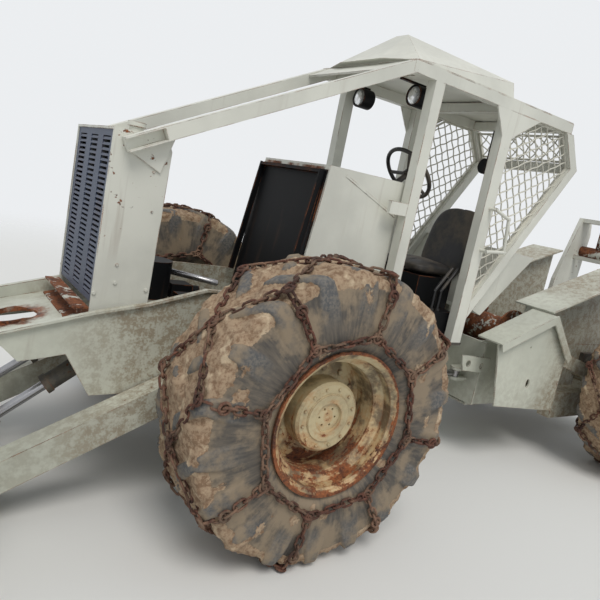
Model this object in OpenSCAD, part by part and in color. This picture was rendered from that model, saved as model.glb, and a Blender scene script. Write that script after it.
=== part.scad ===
// Cable skidder: a small articulated four-wheel forest tractor, in millimetres.
// X runs forward, Y to the machine's left and Z up from the ground it stands on.
// Lengths along X are measured from the front axle and moved at the end, so that
// the origin lies under the middle of the whole machine.

/* [Stance] */
// Distance between the two axles
wheelbase = 3500; // [3400:10:3600]
// Distance between the left and right wheel centres
track = 2000; // [1980:10:2100]
// Distance from the front axle back to the articulation pin
hinge_back = 1600; // [1590:5:1610]

/* [Wheels] */
// Radius over the tread lugs
tyre_r = 730; // [715:1:745]
// Width of the tyre across its sidewalls
tyre_w = 480; // [460:2:500]
// Radius of the rim where the tyre sits
rim_seat_r = 333; // [325:1:340]
// Radius over the rim flange
rim_flange_r = 357; // [352:1:364]
// Thickness of the rim and of its disc
rim_wall = 14; // [10:1:18]
// How far the wheel disc lies outside the tyre's middle
disc_out = 24; // [10:1:40]
// Radius of the planetary hub cover
hub_r = 175; // [160:1:190]
// How far the hub cover stands out from the disc
hub_len = 108; // [80:1:130]
// Number of lugs on each side of the tread
lug_n = 18; // [14:1:22]
// Height of a lug above the tyre's casing
lug_h = 30; // [20:1:38]
// Width of a lug
lug_w = 62; // [45:1:75]

/* [Tyre chains] */
// Thickness of a run of chain
chain_d = 24; // [18:1:30]
// Radius of the ring of chain on the sidewall
chain_ring_r = 440; // [420:1:470]

/* [Front frame] */
// Thickness of the hull plates
plate_t = 12; // [8:1:16]
// Half the width over the nose's side plates
belly_half_w = 382; // [376:1:386]
// Half the width over the frame rails under the cab
rail_half_w = 420; // [415:1:430]
// Distance from the front axle to the tip of the nose
nose_x = 1340; // [1300:10:1360]
// Height of the frame's floor plate
belly_z = 500; // [480:5:520]

// Where the round hole in the nose deck is, ahead of the axle
hole_x = 1210; // [1200:5:1215]
// Radius of the hole in the nose deck
hole_r = 115; // [90:5:118]

/* [Radiator guard] */
// Front face of the guard, ahead of the axle
guard_x = 933; // [900:1:950]
// Depth of the guard, front to back
guard_len = 290; // [250:5:310]
// Half the width of the guard
guard_half_w = 339; // [320:1:350]
// Height of the guard's foot above the ground
guard_foot_z = 960; // [950:5:970]
// Height of the guard itself
guard_h = 900; // [830:5:940]
// Number of slotted strips in the grille
grille_strips = 5; // [4:1:6]
// Number of slots up each strip
grille_slots = 26; // [18:1:32]

/* [Cab] */
// Half the width over the canopy's side rails
cab_half_w = 466; // [460:1:475]
// Width and depth of the canopy tubes
tube = 70; // [60:1:80]
// Height of the canopy rails' top
rail_top_z = 2600; // [2520:10:2650]
// Where the rising rails meet the roof rails, behind the axle
bend_back = 670; // [640:5:700]
// Front face of the front posts, behind the axle
front_post_back = 840; // [820:5:860]
// Front face of the rear posts, behind the axle
rear_post_back = 1530; // [1500:5:1545]
// Rear end of the roof rails, behind the axle
roof_back = 2270; // [2240:5:2300]
// Height of the cab floor
floor_z = 905; // [895:5:920]
// Height of the roof's peak above the rails
peak_h = 240; // [180:5:280]
// Pitch of the crimped wire in the screens
mesh_pitch = 66; // [55:1:80]
// Thickness of the screen wire
mesh_d = 8; // [6:1:10]

/* [Blade] */
// Width of the blade
blade_w = 2300; // [2200:10:2450]
// Height of the blade
blade_h = 740; // [650:10:800]
// Clearance under the cutting edge at rest
blade_gap = 25; // [20:1:40]
// Width of a push arm
arm_w = 130; // [110:1:134]
// Depth of a push arm
arm_d = 150; // [130:1:165]
// Radius of the pins at the arms
arm_pin_r = 30; // [24:1:34]

/* [Rear frame] */
// Half the width over the rear frame's plates
rear_half_w = 380; // [370:1:390]
// Outer face of the side boxes
box_half_w = 640; // [620:1:650]
// Inner face of the side boxes
box_inner = 450; // [445:1:470]
// Radius of the winch drum
drum_r = 120; // [100:1:140]
// Radius over the winch drum's cheeks
cheek_r = 210; // [190:1:225]
// Height of the arch's head
arch_z = 2050; // [1950:10:2150]
// Radius of the rear drawbar pin hole
draw_r = 26; // [20:1:32]
// Thickness of the rear drawbar lug
draw_t = 50; // [40:1:60]

/* [Pins and cylinders] */
// Radius of the articulation pins
hinge_pin_r = 45; // [38:1:50]
// Running clearance around pins and rods
pin_gap = 0.3; // [0.2:0.1:0.6]
// Outer radius of the cylinder barrels
barrel_r = 45; // [40:1:48]
// Radius of the cylinder rods
rod_r = 24; // [20:1:28]
// Radius of the cylinders' eye pins
eye_r = 20; // [16:1:22]

/* [Hidden] */
// By how much every second bar of a bent rod is thinner, so that its bends join
bend_step = 0.5;
$fn = 48;
eps = 0.01;
// Spokes of chain on each sidewall, two rings of which make the net over the tread
chain_n = 8;

// Heights and reaches worked out from the sizes above
chain_r = tyre_r + 4;
link_h = chain_d / 2 + 2;
flat_a = 90 / chain_n;
axle_z = (chain_r + link_h) * cos(flat_a) + link_h * sin(flat_a);
hinge_x = -hinge_back;
rear_x = -wheelbase;
axle_pad = 110;
axle_tube_r = 92;
spindle_r = 60;
hub_in = track / 2 - 60;
guard_top_z = guard_foot_z + guard_h;
floor_t = 20;
arm_y = belly_half_w + 13 + arm_w / 2;
arm_out = belly_half_w + 13 + arm_w;
arm_pin_x = 350;
arm_pin_z = 690;
lift_y = 220;
steer_y = 270;
seat_z = 1340;
console_z = 1120;
fork_t = 40;
fork_x = -1000;
fork_low_z = belly_z - plate_t - fork_t;
fork_high_z = floor_z - 65;

// The machine's length runs from the blade's face to the drawbar's end
blade_x = 1520;
blade_depth = 330;
tail_x = rear_x - 1010;
shift_x = -(blade_x + blade_depth + tail_x) / 2;

// Helpers

// A plate with its outline in X and Z and its thickness from y0 to y1
module plate_xz(pts, y0, y1) {
    translate([0, y1, 0]) rotate([90, 0, 0]) linear_extrude(y1 - y0) polygon(pts);
}

// A plate with its outline in X and Y and its thickness from z0 to z1
module plate_xy(pts, z0, z1) {
    translate([0, 0, z0]) linear_extrude(z1 - z0) polygon(pts);
}

// A box from its lowest to its highest corner
module block(a, b) {
    translate(a) cube(b - a);
}

// The same thing on both sides of the machine
module both() {
    children();
    mirror([0, 1, 0]) children();
}

// A square-cut beam from p to q, w wide across and d deep
module beam(p, q, w, d) {
    v = q - p;
    translate(p) rotate([0, -atan2(v.z, norm([v.x, v.y])), atan2(v.y, v.x)])
        translate([0, -w / 2, -d / 2]) cube([norm(v), w, d]);
}

// Outline of a strip d deep that follows the points and is mitred where it bends
function strip(pts, d) = let (n = len(pts) - 1, off = [for (i = [0 : n]) let (
    u = i == 0 ? pts[1] - pts[0] : pts[i] - pts[i - 1],
    v = i == n ? u : pts[i + 1] - pts[i],
    a = [-u.y, u.x] / norm(u), b = [-v.y, v.x] / norm(v)) (a + b) / (1 + a * b) * d / 2])
    concat([for (i = [0 : n]) pts[i] + off[i]], [for (i = [n : -1 : 0]) pts[i] - off[i]]);

// A round bar from p to q
module bar(p, q, r, n = 24) {
    v = q - p;
    translate(p) rotate([0, 90 - atan2(v.z, norm([v.x, v.y])), atan2(v.y, v.x)])
        cylinder(h = norm(v), r = r, $fn = n);
}

// A round bar along Y
module rod_y(x, z, y0, y1, r, n = 48) {
    translate([x, y0, z]) rotate([-90, 0, 0]) cylinder(h = y1 - y0, r = r, $fn = n);
}

// A bar bent at each of the points, with round corners
module bent_bar(pts, r, n = 24) {
    last = len(pts) - 1;
    lap = 0.9 * r;
    for (i = [1 : last]) {
        v = (pts[i] - pts[i - 1]) / norm(pts[i] - pts[i - 1]);
        bar(pts[i - 1] - (i > 1 ? lap : 0) * v, pts[i] + (i < last ? lap : 0) * v,
            r - bend_step * (i % 2), n);
    }
}

// Everything drawn from the front axle, moved to the machine's middle
module placed() {
    translate([shift_x, 0, 0]) children();
}

// Front hull

// Outline of a hull side: [x, z], nose first along the top edge, then back below
step_x = 250;
side_top = [[nose_x, 881], [924, 997], [662, 1054], [360, 1148], [step_x - 6, 1148]];
side_low = [[step_x - 6, belly_z - 6], [500, belly_z - 6], [640, belly_z + 60], [714, 576], [893, 570],
    [1026, 781], [1138, 760], [1230, 745], [1307, 820], [nose_x, 850]];
rail_back = -1200;

module hull_sides() {
    both() {
        plate_xz(concat(side_top, side_low), belly_half_w - plate_t, belly_half_w);
        // narrow flange turned outwards along the top edge
        plate_xz(strip([for (q = side_top) q - [0, plate_t / 2 - 1]], plate_t),
            belly_half_w - plate_t + 2, belly_half_w + 24);
        // boss that carries the arm's pin
        rod_y(arm_pin_x, arm_pin_z, belly_half_w - 1, belly_half_w + 12, 62);
    }
}

module hull_rails() {
    notch = axle_pad + 1;
    difference() {
        both() block([rail_back, rail_half_w - plate_t, belly_z - 5], [step_x, rail_half_w, floor_z - 45]);
        block([-notch, -700, 0], [notch, 700, axle_z + axle_pad]);
    }
    both() block([-260, rail_half_w - plate_t, floor_z - 46], [step_x, rail_half_w, 1148]);
    // step wall between the inner plates and the rails
    block([step_x - plate_t, -rail_half_w + 1, belly_z - 1], [step_x - 1, rail_half_w - 1, 620]);
    both() block([step_x - plate_t, belly_half_w - plate_t + 1, 600], [step_x - 1, rail_half_w - 1, 1147]);
    // floor of the frame, open at the axle
    for (span = [[axle_pad + 20, 500], [rail_back + 1, -axle_pad - 20]])
        block([span[0], -rail_half_w + 1, belly_z - plate_t - 2], [span[1], rail_half_w - 1, belly_z]);
}

// Height of the deck sunk between the hull's sides, sloping at the nose and level in the engine bay
bay_z = 998;
bay_x = 643;
function deck_z(x) = min(bay_z, bay_z - (x - bay_x) * 0.26);

module nose_deck() {
    half = belly_half_w - plate_t + 1;
    tip = nose_x - 4;
    difference() {
        union() {
            plate_xz([[tip, deck_z(tip)], [bay_x, bay_z], [step_x - 1, bay_z], [step_x - 1, bay_z - plate_t],
                [bay_x, bay_z - plate_t], [tip, deck_z(tip) - plate_t]], -half, half);
            // plate across the tip of the nose
            block([nose_x - 16, -half + 0.5, deck_z(nose_x) - 20], [nose_x - 3, half - 0.5, 876]);
        }
        // round hole where something has been cut away
        translate([hole_x, 0, deck_z(hole_x) - 100]) cylinder(h = 200, r = hole_r, $fn = 48);
    }
    // stub of the torn collar around the hole
    difference() {
        translate([hole_x, 0, deck_z(hole_x + hole_r) - 8]) cylinder(h = 62, r = hole_r + 5, $fn = 48);
        translate([hole_x, 0, deck_z(hole_x + hole_r) - 9]) cylinder(h = 64, r = hole_r - 1, $fn = 48);
        plate_xz([[hole_x - 200, deck_z(hole_x - 200) + 16], [hole_x + 200, deck_z(hole_x + 200) + 16],
            [hole_x + 200, 1200], [hole_x - 200, 1200]], -300, 300);
        plate_xz([[hole_x - 200, deck_z(hole_x - 200) - 6], [hole_x + 200, deck_z(hole_x + 200) - 6],
            [hole_x + 200, 600], [hole_x - 200, 600]], -300, 300);
    }
}

module cylinder_anchors() {
    // the lift cylinders' ears, hung under the deck
    both() translate([lift_anchor.x, lift_y, lift_anchor.y]) rotate([90, 0, 0]) {
        cylinder(h = 78, r = eye_r, center = true);
        for (s = [-1, 1]) translate([0, 0, s * 33]) linear_extrude(12, center = true) union() {
            circle(r = 44);
            polygon([[-42, 14], [-60, bay_z - lift_anchor.y - 6],
                [60, deck_z(lift_anchor.x + 60) - lift_anchor.y - 6], [42, 14]]);
        }
    }
    // steering cylinders' ears, held by the frame rails
    both() translate([steer_anchor.x, steer_anchor.y, steer_z]) {
        cylinder(h = 94, r = eye_r, center = true);
        for (s = [-1, 1]) translate([0, 0, s * 37]) linear_extrude(20, center = true) union() {
            circle(r = 44);
            translate([-44, 0]) square([88, rail_half_w - plate_t - steer_y + 1]);
        }
    }
}

module hinge_forks() {
    y = rail_half_w - 2;
    // two pairs of plates reach back to the articulation pins
    for (z = [fork_low_z, fork_high_z])
        difference() {
            translate([0, 0, z]) linear_extrude(fork_t) union() {
                polygon([[fork_x, -y], [rail_back, -y], [hinge_x - 30, -105],
                    [hinge_x - 30, 105], [rail_back, y], [fork_x, y]]);
                translate([hinge_x, 0]) circle(r = 110);
            }
            translate([hinge_x, 0, z - 1]) cylinder(h = fork_t + 2, r = hinge_pin_r + 0.1);
        }
}

module front_hull() {
    placed() color("gainsboro") difference() {
        union() {
            hull_sides();
            hull_rails();
            nose_deck();
            cylinder_anchors();
            hinge_forks();
        }
        // pin holes for the push arms
        both() rod_y(arm_pin_x, arm_pin_z, belly_half_w - 30, belly_half_w + 30, arm_pin_r);
    }
}

// Rusty channel that the grille stands behind
module foot_channel() {
    x = guard_x + 0.3;
    z = deck_z(guard_x) + 80;
    placed() color("sienna") difference() {
        plate_xz([[x, z], [x + 75, z], [x + 75, deck_z(x + 75) + 0.3], [x, deck_z(x) + 0.3]],
            -guard_half_w + 10, guard_half_w - 10);
        plate_xz([[x + 9, z - 9], [x + 80, z - 9], [x + 80, deck_z(x + 80) + 9.3],
            [x + 9, deck_z(x + 9) + 9.3]], -guard_half_w, guard_half_w);
    }
}

// Radiator guard

module radiator_guard() {
    x0 = guard_x - guard_len;
    placed() color("gainsboro") union() {
        both() plate_xz([[guard_x, deck_z(guard_x) + 0.3], [guard_x, guard_top_z], [x0 + 30, guard_top_z],
            [x0, guard_top_z - 60], [x0 + 10, deck_z(x0 + 10) + 0.3]], guard_half_w - plate_t, guard_half_w);
        block([x0 + 28, -guard_half_w, guard_top_z - plate_t], [guard_x, guard_half_w, guard_top_z]);
        // rails that the grille is bolted to
        for (z = [guard_foot_z + 62, guard_top_z - 50])
            block([guard_x - 58.3, -guard_half_w + 1, z], [guard_x - 38.3, guard_half_w - 1, z + 38]);
        // angle feet that fill the space to the hull's sides
        both() plate_xz([[guard_x - 3, deck_z(guard_x - 3) + 0.3], [guard_x - 3, deck_z(guard_x) + 42],
            [x0 + 40, deck_z(x0 + 40) + 42], [x0 + 40, deck_z(x0 + 40) + 0.3]],
            guard_half_w - 1, belly_half_w - plate_t - 0.3);
    }
}

module radiator_grille() {
    strip = (2 * guard_half_w - 2 * plate_t - 2) / grille_strips;
    z0 = guard_foot_z + 64;
    z1 = guard_top_z - plate_t - 1;
    slot_h = (z1 - z0 - 60) / grille_slots;
    y0 = -guard_half_w + plate_t + 1;
    placed() color("slategray") difference() {
        union() {
            block([guard_x - 38, y0, z0], [guard_x - 30, -y0, z1]);
            // folded ribs between the strips
            for (i = [0 : grille_strips])
                translate([guard_x - 31, y0 + i * strip - (i == 0 ? 0 : i == grille_strips ? 16 : 8), z0])
                    cube([26, 16, z1 - z0]);
        }
        for (i = [0 : grille_strips - 1], j = [0 : grille_slots - 1])
            translate([guard_x - 45, y0 + (i + 0.17) * strip, z0 + 30 + (j + 0.22) * slot_h])
                cube([22, strip * 0.66, slot_h * 0.5]);
    }
}

module guard_cap() {
    placed() color("darkslategray") union() {
        translate([guard_x - 140, guard_half_w - 120, guard_top_z + 0.3]) cylinder(h = 26, r = 34);
        translate([guard_x - 140, guard_half_w - 120, guard_top_z + 26]) cylinder(h = 22, r = 44);
    }
}

// Reservoir and cylinder left lying in the empty engine bay
module bay_cylinder() {
    z = bay_z + 0.3;
    placed() color("black") union() {
        bar([520, -40, z], [520, -40, z + 215], 118, 40);
        bar([520, -40, z + 170], [90, -40, z + 105], 16);
        block([260, -130, z], [390, 0, z + 85]);
        bar([200, -60, z + 45], [470, -60, z + 45], 30);
        block([251, 120, z], [430, 300, z + 70]);
    }
}

// Bulkhead, cowl and cab

bulk_x = -260;
cowl_back = -896;
cowl_top = 1918;
// Middle line of the firewall's plate, leaning back towards its top
wall_low = [-170, floor_z + floor_t + 1.2];
wall_top = [-270, 1890];

module bulkhead() {
    wall = strip([wall_low, wall_top], 10);
    edge = strip([wall_low + [23, 230], wall_top + [23, -4]], 38);
    placed() color("black") union() {
        plate_xz(wall, -360, 360);
        both() plate_xz(edge, 335, 347);
        plate_xz(strip([wall_top + [4, -20], wall_top + [42, -16]], 12), -340, 340);
    }
}

// Place and lean of the steering column
module at_column() {
    translate([-1180, 40, 2010]) rotate([0, -48, 0]) children();
}

module cowl() {
    lean = (wall_top.x - wall_low.x) / (wall_top.y - wall_low.y);
    front = wall_low.x - 5.6;
    z0 = floor_z + floor_t;
    side = [[front, z0], [front + lean * (cowl_top - z0), cowl_top], [cowl_back, cowl_top],
        [cowl_back, 1690], [-850, 1690], [-850, z0]];
    placed() color("gainsboro") difference() {
        union() {
            plate_xz(side, -372, 372);
            // welded seam down each side
            both() beam([-400, 372, 1880], [-838, 372, 1704], 6, 14);
        }
        plate_xz([[front + 90, z0 - 50], [front + lean * (cowl_top - z0), cowl_top - 12],
            [cowl_back + 12, cowl_top - 12], [cowl_back + 12, 1702], [-838, 1702], [-838, z0 - 50]],
            -372 + plate_t, 372 - plate_t);
        // foot room under the dash
        block([-900, -350, floor_z], [-700, 350, 1480]);
        at_column() translate([0, 0, -480]) cylinder(h = 480, r = 20.3);
    }
}

module steering_wheel() {
    placed() color("black") {
        at_column() {
            rotate_extrude($fn = 48) translate([190, 0]) circle(r = 14, $fn = 16);
            translate([0, 0, -30]) cylinder(h = 45, r = 34);
            for (a = [30, 150, 270]) rotate([0, 0, a]) translate([10, -11, -8]) cube([172, 22, 12]);
            translate([0, 0, -450]) cylinder(h = 430, r = 20);
        }
    }
}

module cab_floor() {
    placed() color("dimgray") union() {
        block([-1640, -cab_half_w, floor_z], [bulk_x - 10, cab_half_w, floor_z + floor_t - 0.3]);
        block([bulk_x - 11, -rail_half_w + 13, floor_z],
            [wall_low.x + 12, rail_half_w - 13, floor_z + floor_t - 0.3]);
        both() block([fork_x + 12, rail_half_w - plate_t, floor_z - 45], [-600, cab_half_w - 12, floor_z]);
        both() block([-1150, cab_half_w - 13, floor_z - 170], [-900, cab_half_w + 90, floor_z - 155]);
        both() for (x = [-1150, -912])
            block([x, cab_half_w - 13, floor_z - 170], [x + 12, cab_half_w, floor_z]);
    }
}

module canopy_rails() {
    rz = rail_top_z - tube / 2;
    y = cab_half_w - tube / 2;
    yf = guard_half_w + tube / 2 + 1.2;
    placed() color("gainsboro") union() {
        both() {
            difference() {
                beam([880, yf, 1790], [-bend_back, y, rz], tube, tube);
                // the foot is an open channel, with its bolts inside
                beam([892, yf + 20, 1784], [710, yf + 26, 1875], tube - 12, tube - 18);
            }
            beam([-bend_back + 18, y, rz], [-roof_back, y, rz], tube, tube);
            // gusset under the rail's foot
            plate_xz([[858, 1766], [640, 1868], [690, 1690]], guard_half_w + 0.3, guard_half_w + 10);
        }
        // header between the rails at the bend
        plate_xz([[-bend_back + 10, rail_top_z - 4], [-bend_back + 170, rail_top_z - 92],
            [-bend_back + 164, rail_top_z - 104], [-bend_back + 4, rail_top_z - 16]], -y, y);
        // cross tubes of the roof
        for (x = [-bend_back - 60, -rear_post_back - 60, -roof_back + tube])
            block([x - tube, -y, rail_top_z - tube], [x, y, rail_top_z - 8]);
    }
}

module canopy_roof() {
    // rows of the cap's outline: [back from the axle, half width, height over the rails]
    rows = [[600, 200, 0], [bend_back + 20, cab_half_w - 16, 0], [rear_post_back + 40, cab_half_w - 16, 0],
        [900, 55, peak_h], [rear_post_back + 40, cab_half_w - 46, 100]];
    placed() color("gainsboro") union() {
        block([-roof_back, -cab_half_w + 6, rail_top_z + 0.3],
            [-bend_back - 10, cab_half_w - 6, rail_top_z + 8]);
        hull() for (r = rows, s = [-1, 1])
            translate([-r[0], s * r[1], rail_top_z + 7 + r[2]]) cube([2, 2, 2], center = true);
    }
}

module cab_posts() {
    z0 = floor_z + floor_t;
    z1 = rail_top_z - tube - 0.2;
    // bracket left on the near front post
    placed() color("gainsboro")
        block([-front_post_back - 1, cab_half_w - 28, 1718], [-703, cab_half_w - 2, 1796]);
    placed() color("gainsboro") both() {
        block([-front_post_back - 80, cab_half_w - tube, z0], [-front_post_back, cab_half_w, z1]);
        // foot of the rear post and its gussets at the roof
        block([-rear_post_back - 100, cab_half_w - tube, z0], [-rear_post_back, cab_half_w, z1]);
        plate_xz([[-1420, z1], [-rear_post_back + 1, z1 - 170], [-rear_post_back - 99, z1 - 170],
            [-1890, z1]], cab_half_w - plate_t, cab_half_w);
    }
}

guard_pts = [[-1600, 1122], [-roof_back - 143, rail_top_z - 303], [-roof_back + 32, rail_top_z - tube + 30]];
post_face = -rear_post_back - 100;
guard_dir = (guard_pts[1] - guard_pts[0]) / norm(guard_pts[1] - guard_pts[0]);

// Height of the lower member's inner face at x
function member_z(x) = let (q = guard_pts[0] + tube / 2 * [guard_dir.y, -guard_dir.x])
    q.y + (x - q.x) * guard_dir.y / guard_dir.x;

module rear_guard() {
    y = cab_half_w - tube / 2;
    placed() color("gainsboro") difference() {
        union() {
            both() plate_xz(strip(guard_pts, tube), y - tube / 2, y + tube / 2);
            // cross tube where the guard bends
            block([guard_pts[1].x - tube / 2 + 1, -y, guard_pts[1].y - tube / 2 + 1],
                [guard_pts[1].x + tube / 2 - 1, y, guard_pts[1].y + tube / 2 - 1]);
        }
        block([post_face - 0.2, -600, 600], [0, 600, 2000]);
        block([-roof_back - 200, -600, rail_top_z - tube - 0.2], [0, 600, rail_top_z + 200]);
    }
}

screen_top = rail_top_z - tube - 0.3;
// Inner edges of the guard's members, a little clear of them
guard_in = strip(guard_pts, tube + 0.6);
screen_pts = [[post_face - 0.3, member_z(post_face) + 2], guard_in[4],
    guard_in[4] + (guard_in[3] - guard_in[4]) * (screen_top - guard_in[4].y)
        / (guard_in[3].y - guard_in[4].y),
    [-1890, screen_top], [post_face - 0.3, screen_top - 172]];
screen_mid = [-1940, 1980];
frame_w = 14;

// Where a line from p along d crosses the edge from a to b, in lengths of d
function crossing(p, d, a, b) = let (e = b - a, k = d.x * e.y - d.y * e.x)
    abs(k) < eps ? undef : ((a.x - p.x) * e.y - (a.y - p.y) * e.x) / k;

// Whether a crossing at p + t * d lies between a and b
function on_edge(p, d, t, a, b) = let (e = b - a, u = (p + t * d - a) * e / (e * e)) u >= 0 && u < 1;

// The part of a line that lies inside a convex outline: [from, to] or nothing
function inside(p, d, pts) = let (
    n = len(pts),
    hits = [for (i = [0 : n - 1]) let (a = pts[i], b = pts[(i + 1) % n], t = crossing(p, d, a, b))
        if (t != undef && on_edge(p, d, t, a, b)) t])
    len(hits) < 2 ? [] : [min(hits), max(hits)];

// A clockwise convex outline drawn in by d
function inset(pts, d) = let (n = len(pts)) [for (i = [0 : n - 1]) let (
    a = pts[(i + n - 1) % n], b = pts[i], c = pts[(i + 1) % n],
    u = [b.y - a.y, a.x - b.x] / norm(b - a),
    v = [c.y - b.y, b.x - c.x] / norm(c - b)) b + d * (u + v) / (1 + u * v)];

// A panel of crossed wires in a flat frame, its outline in X and Z about the middle m
module wire_panel(outline, m, y, lean) {
    clip = inset(outline, frame_w / 2);
    hole = inset(outline, frame_w);
    translate([0, y, 0]) {
        difference() {
            plate_xz(outline, -6, 6);
            plate_xz(hole, -8, 8);
        }
        for (i = [-16 : 16], k = [0, 1]) {
            d = [cos(lean + k * 90), sin(lean + k * 90)];
            q = m + i * mesh_pitch * [-d.y, d.x];
            t = inside(q, d, clip);
            if (len(t) == 2 && t[1] - t[0] > 2 * frame_w)
                beam([q.x + t[0] * d.x, k * 5 - 2.5, q.y + t[0] * d.y],
                    [q.x + t[1] * d.x, k * 5 - 2.5, q.y + t[1] * d.y], mesh_d, mesh_d);
        }
    }
}

module side_screen_left() {
    placed() color("cornsilk") wire_panel(screen_pts, screen_mid, cab_half_w - tube / 2, 62);
}

module side_screen_right() {
    placed() color("cornsilk") mirror([0, 1, 0])
        wire_panel(screen_pts, screen_mid, cab_half_w - tube / 2, 62);
}

module rear_screen() {
    half = cab_half_w - tube - 0.3;
    low = tube * 0.7 + 0.6;
    rise = guard_pts[2] - guard_pts[1];
    placed() color("cornsilk") translate([guard_pts[1].x, 0, guard_pts[1].y])
        rotate([0, atan2(rise.x, rise.y), 0]) rotate([0, 0, 90])
            wire_panel([[half, low], [-half, low], [-half, 262], [half, 262]], [0, 150], 0, 45);
}

module grab_handle() {
    y = cab_half_w + 54;
    placed() color("gainsboro") union() {
        bent_bar([[-1590, cab_half_w + 0.3, 1880], [-1590, y, 1880], [-1745, y, 1835], [-1780, y, 1607],
            [-1600, y, 1594], [-1600, cab_half_w + 0.3, 1594]], 12);
    }
}

module headlamps() {
    strap_z = rail_top_z - tube - 0.3;
    placed() color("black") {
        for (y = [-272, 272]) {
            translate([-955, y, strap_z - 76]) rotate([0, 90, 0]) difference() {
                cylinder(h = 95, r = 66);
                translate([0, 0, 84]) cylinder(h = 20, r = 57);
            }
            block([-940, y - 12, strap_z - 12], [-735, y + 12, strap_z]);
        }
        // work lamp hung at the back
        translate([-2205, -200, strap_z - 290]) rotate([0, -90, 0]) difference() {
            cylinder(h = 80, r = 62);
            translate([0, 0, 70]) cylinder(h = 20, r = 54);
        }
        bar([-2235, -200, strap_z - 235], [-2235, -200, strap_z], 9);
    }
}

module seat_base() {
    placed() color("dimgray") union() {
        block([-1638, -250, floor_z + floor_t], [-1300, 250, seat_z]);
        block([-1600, 260, floor_z + floor_t], [-1320, 380, console_z]);
    }
}

module seat_cushion() {
    placed() color("black") hull() {
        translate([-1700, -230, seat_z + 0.3]) cube([420, 460, 60]);
        translate([-1690, -210, seat_z + 0.3]) cube([390, 420, 110]);
    }
}

module seat_backrest() {
    placed() color("black") hull() {
        translate([-1785, -225, seat_z + 0.3]) cube([80, 450, 60]);
        translate([-1905, -200, seat_z + 460]) cube([60, 400, 60]);
    }
}

// Two bent levers on the console beside the seat
module control_levers() {
    placed() color("wheat") union() {
        for (x = [-1385, -1445]) {
            translate([x, 345, console_z + 0.3]) cylinder(h = 14, r = 22);
            bent_bar([[x, 345, console_z + 4], [x, 345, 1264], [x - 124, 345, 1430]], 12);
        }
    }
}

// Tank hung on the rear guard's lower members
module rear_tank() {
    tank_half = cab_half_w - tube - 0.3;
    placed() color("gainsboro") union() {
        plate_xz([[-1700, 1175], [-1860, 1120], [-2330, 1600], [-1950, 1620]], -tank_half, tank_half);
    }
}

// Axles

module axle(x) {
    translate([x, 0, 0]) {
        rod_y(0, axle_z, -track / 2 + 62, track / 2 - 62, axle_tube_r);
        rod_y(0, axle_z, -170, 170, 165);
        translate([0, 0, axle_z]) sphere(r = 190);
        both() rod_y(0, axle_z, hub_in - 110, hub_in - 2, 150);
        both() rod_y(0, axle_z, hub_in - 3, track / 2 + 90, spindle_r - pin_gap);
    }
}

module front_axle() {
    placed() color("dimgray") union() {
        axle(0);
        both() block([-axle_pad, rail_half_w - 80, axle_z - axle_pad],
            [axle_pad, rail_half_w + 30, axle_z + axle_pad]);
        bar([-150, 0, axle_z], [-330, 0, axle_z], 70);
    }
}

module rear_axle() {
    placed() color("dimgray") union() {
        axle(rear_x);
        both() block([rear_x - axle_pad, rear_half_w - 80, axle_z - axle_pad],
            [rear_x + axle_pad, rear_half_w + 40, axle_z + axle_pad]);
        bar([rear_x + 150, 0, axle_z], [rear_x + 330, 0, axle_z], 70);
    }
}

module transmission() {
    placed() color("dimgray") union() {
        block([fork_x + 5, -170, belly_z], [-480, 170, 850]);
        bar([-480, 0, axle_z], [-330.3, 0, axle_z], 45);
        bar([-1090, 0, 660], [fork_x + 6, 0, 660], 60);
    }
}

// Pins of the articulation, each headed on the outer face of its fork
module hinge_pins() {
    placed() color("dimgray") translate([hinge_x, 0, 0]) {
        translate([0, 0, fork_high_z - 70]) cylinder(h = fork_t + 71, r = hinge_pin_r);
        translate([0, 0, fork_high_z + fork_t + 0.2]) cylinder(h = 16, r = hinge_pin_r + 20);
        translate([0, 0, fork_low_z - 1]) cylinder(h = fork_t + 71, r = hinge_pin_r);
        translate([0, 0, fork_low_z - 16.2]) cylinder(h = 16, r = hinge_pin_r + 20);
    }
}

// Pins that the push arms turn on, headed outside the arms
module arm_pins() {
    placed() color("dimgray") both() {
        rod_y(arm_pin_x, arm_pin_z, belly_half_w - 20, arm_out + 3, arm_pin_r - 0.1);
        rod_y(arm_pin_x, arm_pin_z, arm_out + 2, arm_out + 16, arm_pin_r + 14);
    }
}

// Blade and push frame, hinged at the arms' rear pins

module blade() {
    r_out = 900;
    half = asin(blade_h / 2 / r_out);
    zc = blade_gap + blade_h / 2;
    placed() color("gainsboro") union() {
        // curved mouldboard
        intersection() {
            translate([blade_x + 40 + r_out, blade_w / 2, zc]) rotate([90, 0, 0]) difference() {
                cylinder(h = blade_w, r = r_out, $fn = 96);
                translate([0, 0, -1]) cylinder(h = blade_w + 2, r = r_out - 16, $fn = 96);
            }
            block([blade_x, -blade_w / 2, blade_gap], [blade_x + 300, blade_w / 2, blade_gap + blade_h]);
        }
        // cutting edge, top lip and back ribs
        block([blade_x + 100, -blade_w / 2, blade_gap], [blade_x + 130, blade_w / 2, blade_gap + 150]);
        block([blade_x + 40, -blade_w / 2, blade_gap + blade_h - 40], [blade_x + 130, blade_w / 2,
            blade_gap + blade_h]);
        both() block([blade_x + 30, blade_w / 2 - 16, blade_gap + 20], [blade_x + blade_depth,
            blade_w / 2, blade_gap + 200]);
        both() block([blade_x, arm_y - 60, blade_gap + 60], [blade_x + 60, arm_y + 60, blade_gap + 420]);
        block([blade_x, -blade_w / 2 + 40, blade_gap + 230], [blade_x + 60, blade_w / 2 - 40,
            blade_gap + 330]);
    }
}

lift_eye = [1290, 400];
lift_anchor = [620, 900];

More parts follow.
